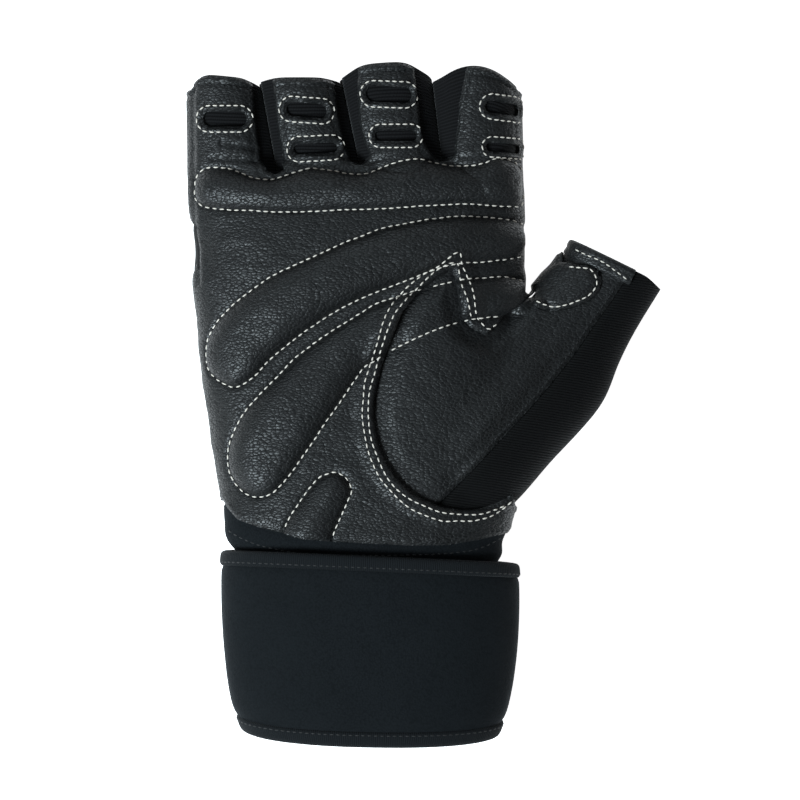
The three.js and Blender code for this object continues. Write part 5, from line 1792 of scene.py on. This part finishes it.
@dataclass
class Sleeves:
    """The knit sleeves inside the fingers' leather fronts."""

    hand: Hand
    pattern: Pattern
    fabric: float = 1.2
    press: float = 1.6
    contact: float = 0.04
    lean: float = 0.06
    sides: int = 96
    rows: int = 30
    girth: float = 92.0
    lip: float = 0.012
    tail: float = 0.01
    # How low and how far aside a sleeve has to face to be pressed against its neighbour.
    low: tuple[float, float] = (0.35, 0.85)
    aside: tuple[float, float] = (0.3, 0.9)
    partings: Points = ((-0.9, -0.9), (-0.237, -0.29), (0.01, -0.049), (0.254, 0.221), (0.9, 0.9))

    def make(self, finishes: Finishes) -> None:
        """Makes the four sleeves."""
        hand, sides, girth = self.hand, self.sides, self.girth
        turn = np.linspace(0, 2 * np.pi, sides, endpoint=False)
        under = 1 - smoothstep(*self.low, np.sin(turn))
        full = self.press * under * smoothstep(*self.aside, np.abs(np.cos(turn)))
        towards = np.sign(np.cos(turn))
        around = np.linspace(0, girth, sides, endpoint=False)
        around = np.where(around > girth / 2, girth - around, around)
        for index, finger in enumerate(hand.fingers):
            start = -self.pattern.root_lap / hand.finger_length
            share = np.linspace(start, finger.reach, self.rows)
            rings = np.concatenate([
                hand.finger_rings(finger, np.atleast_1d(at), level, sides)
                for at, level in (
                    (share, 0.0), (finger.reach + self.lip, -self.fabric / 2),
                    (share[::-1], -self.fabric), (start - self.tail, -self.fabric / 2),
                )
            ])
            t = (rings[:, :, 1] - hand.palm_length) / hand.finger_length
            rings[:, :, 0] += full * towards * np.where(towards < 0, index > 0, index < 3)
            for side, sign in ((index, 1), (index + 1, -1)):
                root, tip = self.partings[side]
                limit = (root + (tip - root) * t) * hand.palm_width + sign * self.contact / 2
                limit = limit + self.lean * (rings[:, :, 2] - hand.finger_thickness / 2)
                bound = np.maximum if sign > 0 else np.minimum
                rings[:, :, 0] = bound(rings[:, :, 0], limit)
            rings[:, :, 2] = np.maximum(rings[:, :, 2], FLOOR_GAP)
            along = np.repeat(rings[:, :, 1].mean(axis=1), sides)
            name, node = f"knit_sleeve_{finger.name}", f"finger_sleeve_{finger.name}"
            piece = Piece(name, finishes.knit, "ribbed_knit", node, sharp=SLEEVE_SHARP)
            cloth = np.column_stack((np.tile(around, len(rings)), along))
            piece.made(*loft(rings, closed=True), cloth)


@dataclass
class Cuff:
    """The neoprene band between the hand and the strap."""

    hand: Hand
    pattern: Pattern
    thickness: float = 2.6
    sides: int = 160
    rows: int = 44
    upper_share: float = 0.12
    reach: tuple[float, float, int] = (-0.16, 0.14, 120)
    bulge: float = 0.25
    ripple: float = 0.4
    ripples: int = 5

    def make(self, finishes: Finishes) -> BVHTree:
        """Makes the band, and hands back what its seam is sewn on."""
        pattern, hand = self.pattern, self.hand
        end = hand.body_rings(np.array([self.upper_share]), 0.0, self.sides)
        top = pattern.cuff_line + pattern.cuff_slope * end[0, :, 0]
        start = pattern.cuff_low
        share = np.linspace(0, 1, self.rows)[:, None]
        wanted = start + (top - start) * share
        exact = hand.body_rings(np.linspace(*self.reach), 0.0, self.sides)
        made = np.empty((self.rows, self.sides, 3))
        for k in range(self.sides):
            for axis in range(3):
                made[:, k, axis] = np.interp(wanted[:, k], exact[:, k, 1], exact[:, k, axis])
        middle = np.array([made[:, :, 0].mean(), 0, made[:, :, 2].mean()])
        away = made - middle
        away[:, :, 1] = 0
        away /= np.linalg.norm(away, axis=2)[:, :, None]
        ripples = self.ripple * np.cos(self.ripples * np.pi * share)
        puff = (self.bulge * np.sin(np.pi * share) - ripples)[:, :, None]
        outer = made + away * (puff - self.bulge)
        inner = made - away * self.thickness
        upper, lower = (
            [a * (1 - t) + b * t for t in (0.25, 0.75)]
            for a, b in ((outer[-1:], inner[-1:]), (inner[:1], outer[:1]))
        )
        shape = np.concatenate((outer[2:-2], *upper, inner[-3:1:-1], *lower))
        shape[:, :, 2] = np.maximum(shape[:, :, 2], FLOOR_GAP)
        piece = Piece("neoprene_cuff", finishes.neoprene, "neoprene", "cuff_band", sharp=WOUND_SHARP)
        piece.made(*loft(shape, closed=True))
        return tree_of(*loft(outer, capped=False))


@dataclass
class Strap:
    """The bound neoprene strap wound round the wrist."""

    width: float = 55.8
    thickness: float = 2.6
    binding_width: float = 4.8
    binding: float = 3.8
    closure: float = 1.8
    gap: float = 0.3
    tuck: float = 0.012
    wrist_width: float = 97.2
    wrist_height: float = 41.0
    wrist_x: float = 4.95
    top: float = -5.0
    round: float = 2.35
    profile: Sequence[tuple[float, ...]] = (
        (0, 0.99, -0.013, 0.077), (0.12, 1, -0.005, 0.07), (0.3, 0.998, 0.01, 0.06),
        (0.5, 0.985, 0.03, 0.05), (0.7, 0.96, 0.05, 0.044), (0.85, 0.925, 0.068, 0.038),
        (1, 0.86, 0.08, 0.034),
    )
    run: Sequence[tuple[float, float]] = (
        (-130, -4.7), (-50, -4.7), (-25, -3.4), (-5, -1.6), (15, -0.7), (30, -0.6), (310, -0.6),
    )
    turn_step: float = 2.5
    tab_step: float = 1.5
    # Points across each section, how its edges roll and how wide, and how square a tape is.
    face_rows: int = 26
    tab_rows: int = 16
    tape_rows: int = 22
    face_roll: tuple[float, float] = (0.5, 1.2)
    tab_roll: tuple[float, float] = (0.4, 1.0)
    tape_round: tuple[float, float] = (3.2, 2.6)
    # The tab's first and last turn, and its upper and lower edge in shares of the width.
    tab: tuple[float, float, float, float] = (-49, -18, 0.24, 0.76)
    # Where the binding's stitches lie, in shares of its width, and how far they stand out.
    seam: tuple[float, float] = (0.76, 0.42)

    def place(self, turn: Array, down: Array, level: Array) -> Array:
        """Places on the strap: turns in degrees from +X, shares down its width, levels out of the wrist."""
        turn, down, level = np.broadcast_arrays(turn, down, level)
        rows = eased(self.profile, np.clip(down, 0, 1).ravel())
        half, sag, tilt = (rows[:, k].reshape(down.shape) for k in (1, 2, 3))
        angle = np.radians(turn)
        across = (half * self.wrist_width / 2 + level) * squared(np.cos(angle), self.round)
        deep = self.wrist_height / 2 * (0.45 + 0.55 * half) + level
        lean = sag * np.abs(np.sin(angle)) + tilt * across / self.wrist_width
        y = self.top - (down + lean) * self.width
        z = self.wrist_height / 2 + deep * squared(np.sin(angle), self.round)
        return np.stack((self.wrist_x + across, y, z), axis=-1)

    def level(self, turn: Array) -> Array:
        """The strap's outside along its turns."""
        return eased(self.run, turn)[:, 1]

    def face(
        self, low: float, high: float, count: int, roll: tuple[float, float], thickness: float
    ) -> Array:
        """A flat section with rounded edges: places down the strap's width and heights over it."""
        depth, width = roll
        downs = np.linspace(low, high, count)
        first, last = (ridge(away * self.width, width) for away in (downs - low, high - downs))
        under = np.column_stack((downs[::-1], np.full(count, -thickness)))
        return np.vstack((np.column_stack((downs, -depth * (first + last))), under))

    def wound(
        self, piece: Piece, turns: Array, section: Array, above: float = 0.0, waved: bool = False
    ) -> None:
        """Lays a closed section along turns as a piece.

        Args:
            piece: The piece's name and finish.
            turns: The turns round the wrist, in degrees.
            section: Places down the strap's width, and heights over its outside.
            above: How far the piece lies over the strap.
            waved: Whether the wound piece has slow waves.
        """
        downs, heights = section.T
        turn, down = np.meshgrid(turns, downs, indexing="ij")
        height = (self.level(turns) + above)[:, None] + heights[None, :]
        if waved:
            flat = np.column_stack((turn.ravel() * WAVE_TURN, down.ravel() * self.width))
            height = height + Wave.STRAP.over(flat).reshape(turn.shape)
        grid = self.place(turn, down, height)
        lengths = lengths_of(grid.mean(axis=1))
        around = np.concatenate((np.repeat(lengths, len(downs)), [0, lengths[-1]]))
        girth = lengths_of(np.column_stack((downs * self.width, heights)))
        along = np.concatenate((np.tile(girth, len(turns)), [0, 0]))
        piece.made(*loft(grid), np.column_stack((around, along)))

    def stitches(self, down: float, height: float, stitching: Stitching) -> Array:
        """Finds where a row of stitches along the strap lies, down its width and over its outside."""
        turn = np.linspace(self.run[0][0] + 2, self.run[-1][0] - 2, ROW_PLACES)
        level = self.level(turn) + height
        on, above = (self.place(turn, down, level + up) for up in (0, 1))
        lengths = lengths_of(on)
        at = np.arange(stitching.pitch, lengths[-1] - stitching.pitch, stitching.pitch)
        columns = np.hstack((on, np.gradient(on, lengths, axis=0), above - on))
        rows = np.column_stack([np.interp(at, lengths, column) for column in columns.T])
        for part in (slice(3, 6), slice(6, 9)):
            rows[:, part] /= np.linalg.norm(rows[:, part], axis=1)[:, None]
        return rows

    def make(self, finishes: Finishes) -> None:
        """Makes the strap, its bindings and its closing tab."""
        start, end = self.run[0][0], self.run[-1][0]
        turns = np.linspace(start, end, round((end - start) / self.turn_step) + 1)
        clear = (self.binding_width + self.gap) / self.width - self.tuck
        strap = Piece("wound_strap", finishes.neoprene, "neoprene", "wrist_wrap", sharp=WOUND_SHARP)
        section = self.face(clear, 1 - clear, self.face_rows, self.face_roll, self.thickness)
        self.wound(strap, turns, section, waved=True)
        edge = self.binding_width / 2 / self.width
        angle = np.linspace(0, 2 * np.pi, self.tape_rows, endpoint=False)
        along = squared(np.cos(angle), self.tape_round[0]) * self.binding_width / 2 / self.width
        out = squared(np.sin(angle), self.tape_round[1]) * self.binding / 2
        for side, down in (("top", edge), ("bottom", 1 - edge)):
            node = f"wrap_binding_{side}"
            tape = Piece(f"tape_{side}", finishes.tape, "binding", node, sharp=WOUND_SHARP)
            self.wound(tape, turns, np.column_stack((down + along, out - self.thickness / 2)))
        first, last, low, high = self.tab
        tab = Piece("closing_tab", finishes.tape, "binding", "wrap_closure", sharp=WOUND_SHARP)
        turns = np.linspace(first, last, round((last - first) / self.tab_step) + 1)
        section = self.face(low, high, self.tab_rows, self.tab_roll, self.closure)
        self.wound(tab, turns, section, self.closure + self.gap)


# The stage.


@dataclass(frozen=True)
class Studio:
    """The camera, the lights and the floor."""

    centre: tuple[float, float] = (-8.11, 1.614)
    frame: float = 256.0
    level: float = 18.0
    distance: float = 2400.0
    sensor: float = 36.0
    colour: Triple = (0.86, 0.99, 1.06)
    # The lights' names, places in metres, sizes and powers.
    lamps: Sequence[tuple[str, Triple, float, float]] = (
        ("left_softbox", (-0.5, -0.41, 0.79), 0.4, 15.5),
        ("top_softbox", (-0.3, 1.2, 1.0), 0.8, 4),
    )
    target: Triple = (0, 0, 0.02)
    half_floor: float = 3.0

    def camera(self) -> None:
        """Sets the camera straight above the palm."""
        data = bpy.data.cameras.new("camera")
        data.sensor_width = self.sensor
        data.lens = self.sensor * self.distance / self.frame
        data.clip_end = 10
        camera = bpy.data.objects.new("camera", data)
        camera.location = (self.centre[0] * MM, self.centre[1] * MM, (self.distance + self.level) * MM)
        bpy.context.scene.collection.objects.link(camera)
        bpy.context.scene.camera = camera

    def light(self, name: str, place: Triple, size: float, power: float) -> None:
        """Adds a soft square light that faces the glove."""
        data = bpy.data.lights.new(name, "AREA")
        data.size = size
        data.energy = power
        data.color = self.colour
        lamp = bpy.data.objects.new(name, data)
        lamp.location = place
        lamp.rotation_euler = (Vector(self.target) - Vector(place)).to_track_quat("-Z", "Y").to_euler()
        bpy.context.scene.collection.objects.link(lamp)

    def floor(self) -> None:
        """Lays the pale floor."""
        mesh = bpy.data.meshes.new("pale_floor")
        far = self.half_floor
        corners = [(-far, -far, 0), (far, -far, 0), (far, far, 0), (-far, far, 0)]
        mesh.from_pydata(corners, [], [(0, 1, 2, 3)])
        floor = linked("pale_floor", mesh)
        graph = Graph("pale_floor")
        grain = graph.noise(graph.millimetres(), 40.0)
        colour = graph.mixed(grain, (0.93, 0.93, 0.93), (0.95, 0.95, 0.95))
        mesh.materials.append(graph.surface(colour, 0.9, specular=0.0, glow=1.0))

    def build(self) -> None:
        """Sets up everything round the glove."""
        scene = bpy.context.scene
        scene.view_settings.view_transform = "Standard"
        world = bpy.data.worlds.new("studio")
        scene.world = world
        world.use_nodes = True
        background = world.node_tree.nodes["Background"]
        background.inputs["Color"].default_value = (1, 1, 1, 1)
        background.inputs["Strength"].default_value = 0.1
        self.camera()
        for lamp in self.lamps:
            self.light(*lamp)
        self.floor()


@dataclass(frozen=True)
class Grounds:
    """What the seams are sewn on."""

    palm: BVHTree
    thumb: BVHTree
    fold: BVHTree
    patch: BVHTree
    cuff: BVHTree
    strap: Strap


def sew(hand: Hand, pattern: Pattern, grounds: Grounds, finishes: Finishes) -> None:
    """Lays every row of stitches, one piece for each kind."""
    sewing = Sewing()
    pale, small = Stitching(), Stitching(pitch=2.2, length=1.5)
    dark = Stitching(pitch=2.0, length=1.45, thickness=0.22, rise=0.0)

    def rows(ground: BVHTree, stitching: Stitching, *seams: Points) -> list[Array]:
        """Rows of stitches along open seams."""
        return [sewing.row(smooth_line(seam), ground, stitching) for seam in seams]

    loops = [
        sewing.row(smooth_line(outline, closed=True), grounds.palm, pale, closed=True)
        for outline in (pattern.knuckle, pattern.upper, pattern.heel)
    ]
    crotch = traced([pattern.crotch])[0]
    lower = smooth_line(pattern.lower)
    lower = lower[(lower < crotch)[:, 0] | (lower > crotch)[:, 1]]
    loops.append(sewing.row(lower, grounds.palm, pale))
    loops += rows(grounds.palm, pale, pattern.outer_row, pattern.inner_row)
    for slot in pattern.slots:
        line, out = slot.ring(hand)
        loops.append(sewing.row(line, grounds.palm, small, closed=True, out=out, height=30.0))
    inner = smooth_line(pattern.lower, closed=True)
    inner = inner[(inner[:, 0] < crotch[0]) & (pattern.into_opening(inner) > sewing.margin)]
    breaks = np.where(np.linalg.norm(np.diff(inner, axis=0), axis=1) > sewing.gap)[0] + 1
    parts = [part for part in np.split(inner, breaks) if len(part) > sewing.least]
    mound = [sewing.row(part, grounds.thumb, pale) for part in parts]
    left, up = pattern.seam_offset
    seam = [(x + left, y + up) for x, y in pattern.thumb_seam]
    strap = grounds.strap
    down, height = strap.seam[0] * strap.binding_width / strap.width, strap.seam[1]
    binding = [strap.stitches(at, height, dark) for at in (down, 1 - down)]
    for name, made, stitching, slot in (
        ("palm_stitches", loops, pale, "palm_leather"),
        ("thumb_stitches", rows(grounds.patch, small, pattern.patch_row) + mound, pale, "thumb_leather"),
        ("hem_stitches", rows(grounds.fold, small, pattern.hem_row), pale, "thumb_leather"),
        ("seam_stitches", rows(grounds.thumb, dark, seam), dark, "thumb_leather"),
        ("binding_stitches", binding, dark, "binding"),
        ("turned_edge_stitches", rows(grounds.palm, dark, *pattern.end_rows), dark, "palm_leather"),
        ("cuff_stitches", rows(grounds.cuff, dark, pattern.cuff_row), dark, "neoprene"),
    ):
        thread = finishes.thread if stitching is pale else finishes.dark_thread
        sewing.thread(name, made, stitching, thread, slot)


def main() -> None:
    """Builds the glove and its studio."""
    logging.basicConfig(level=logging.INFO, format="%(name)s: %(message)s")
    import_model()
    Studio().build()
    hand, pattern, finishes = Hand(), Pattern(), Finishes()
    palm = PalmPanel(hand, pattern).make(finishes)
    sheet = hand.surface(CLOTH_VOXEL, CLOTH_SMOOTHING)
    pieces = ThumbPieces(hand, pattern, sheet)
    thumb = pieces.leather(finishes)
    pieces.back(finishes)
    fold = pieces.folded(finishes)
    patch = pieces.cushion(finishes)
    BackPanel(hand, pattern, sheet).make(finishes)
    Sleeves(hand, pattern).make(finishes)
    cuff = Cuff(hand, pattern).make(finishes)
    strap = Strap()
    strap.make(finishes)
    sew(hand, pattern, Grounds(palm, thumb, fold, patch, cuff, strap), finishes)


if __name__ == "__main__":
    main()
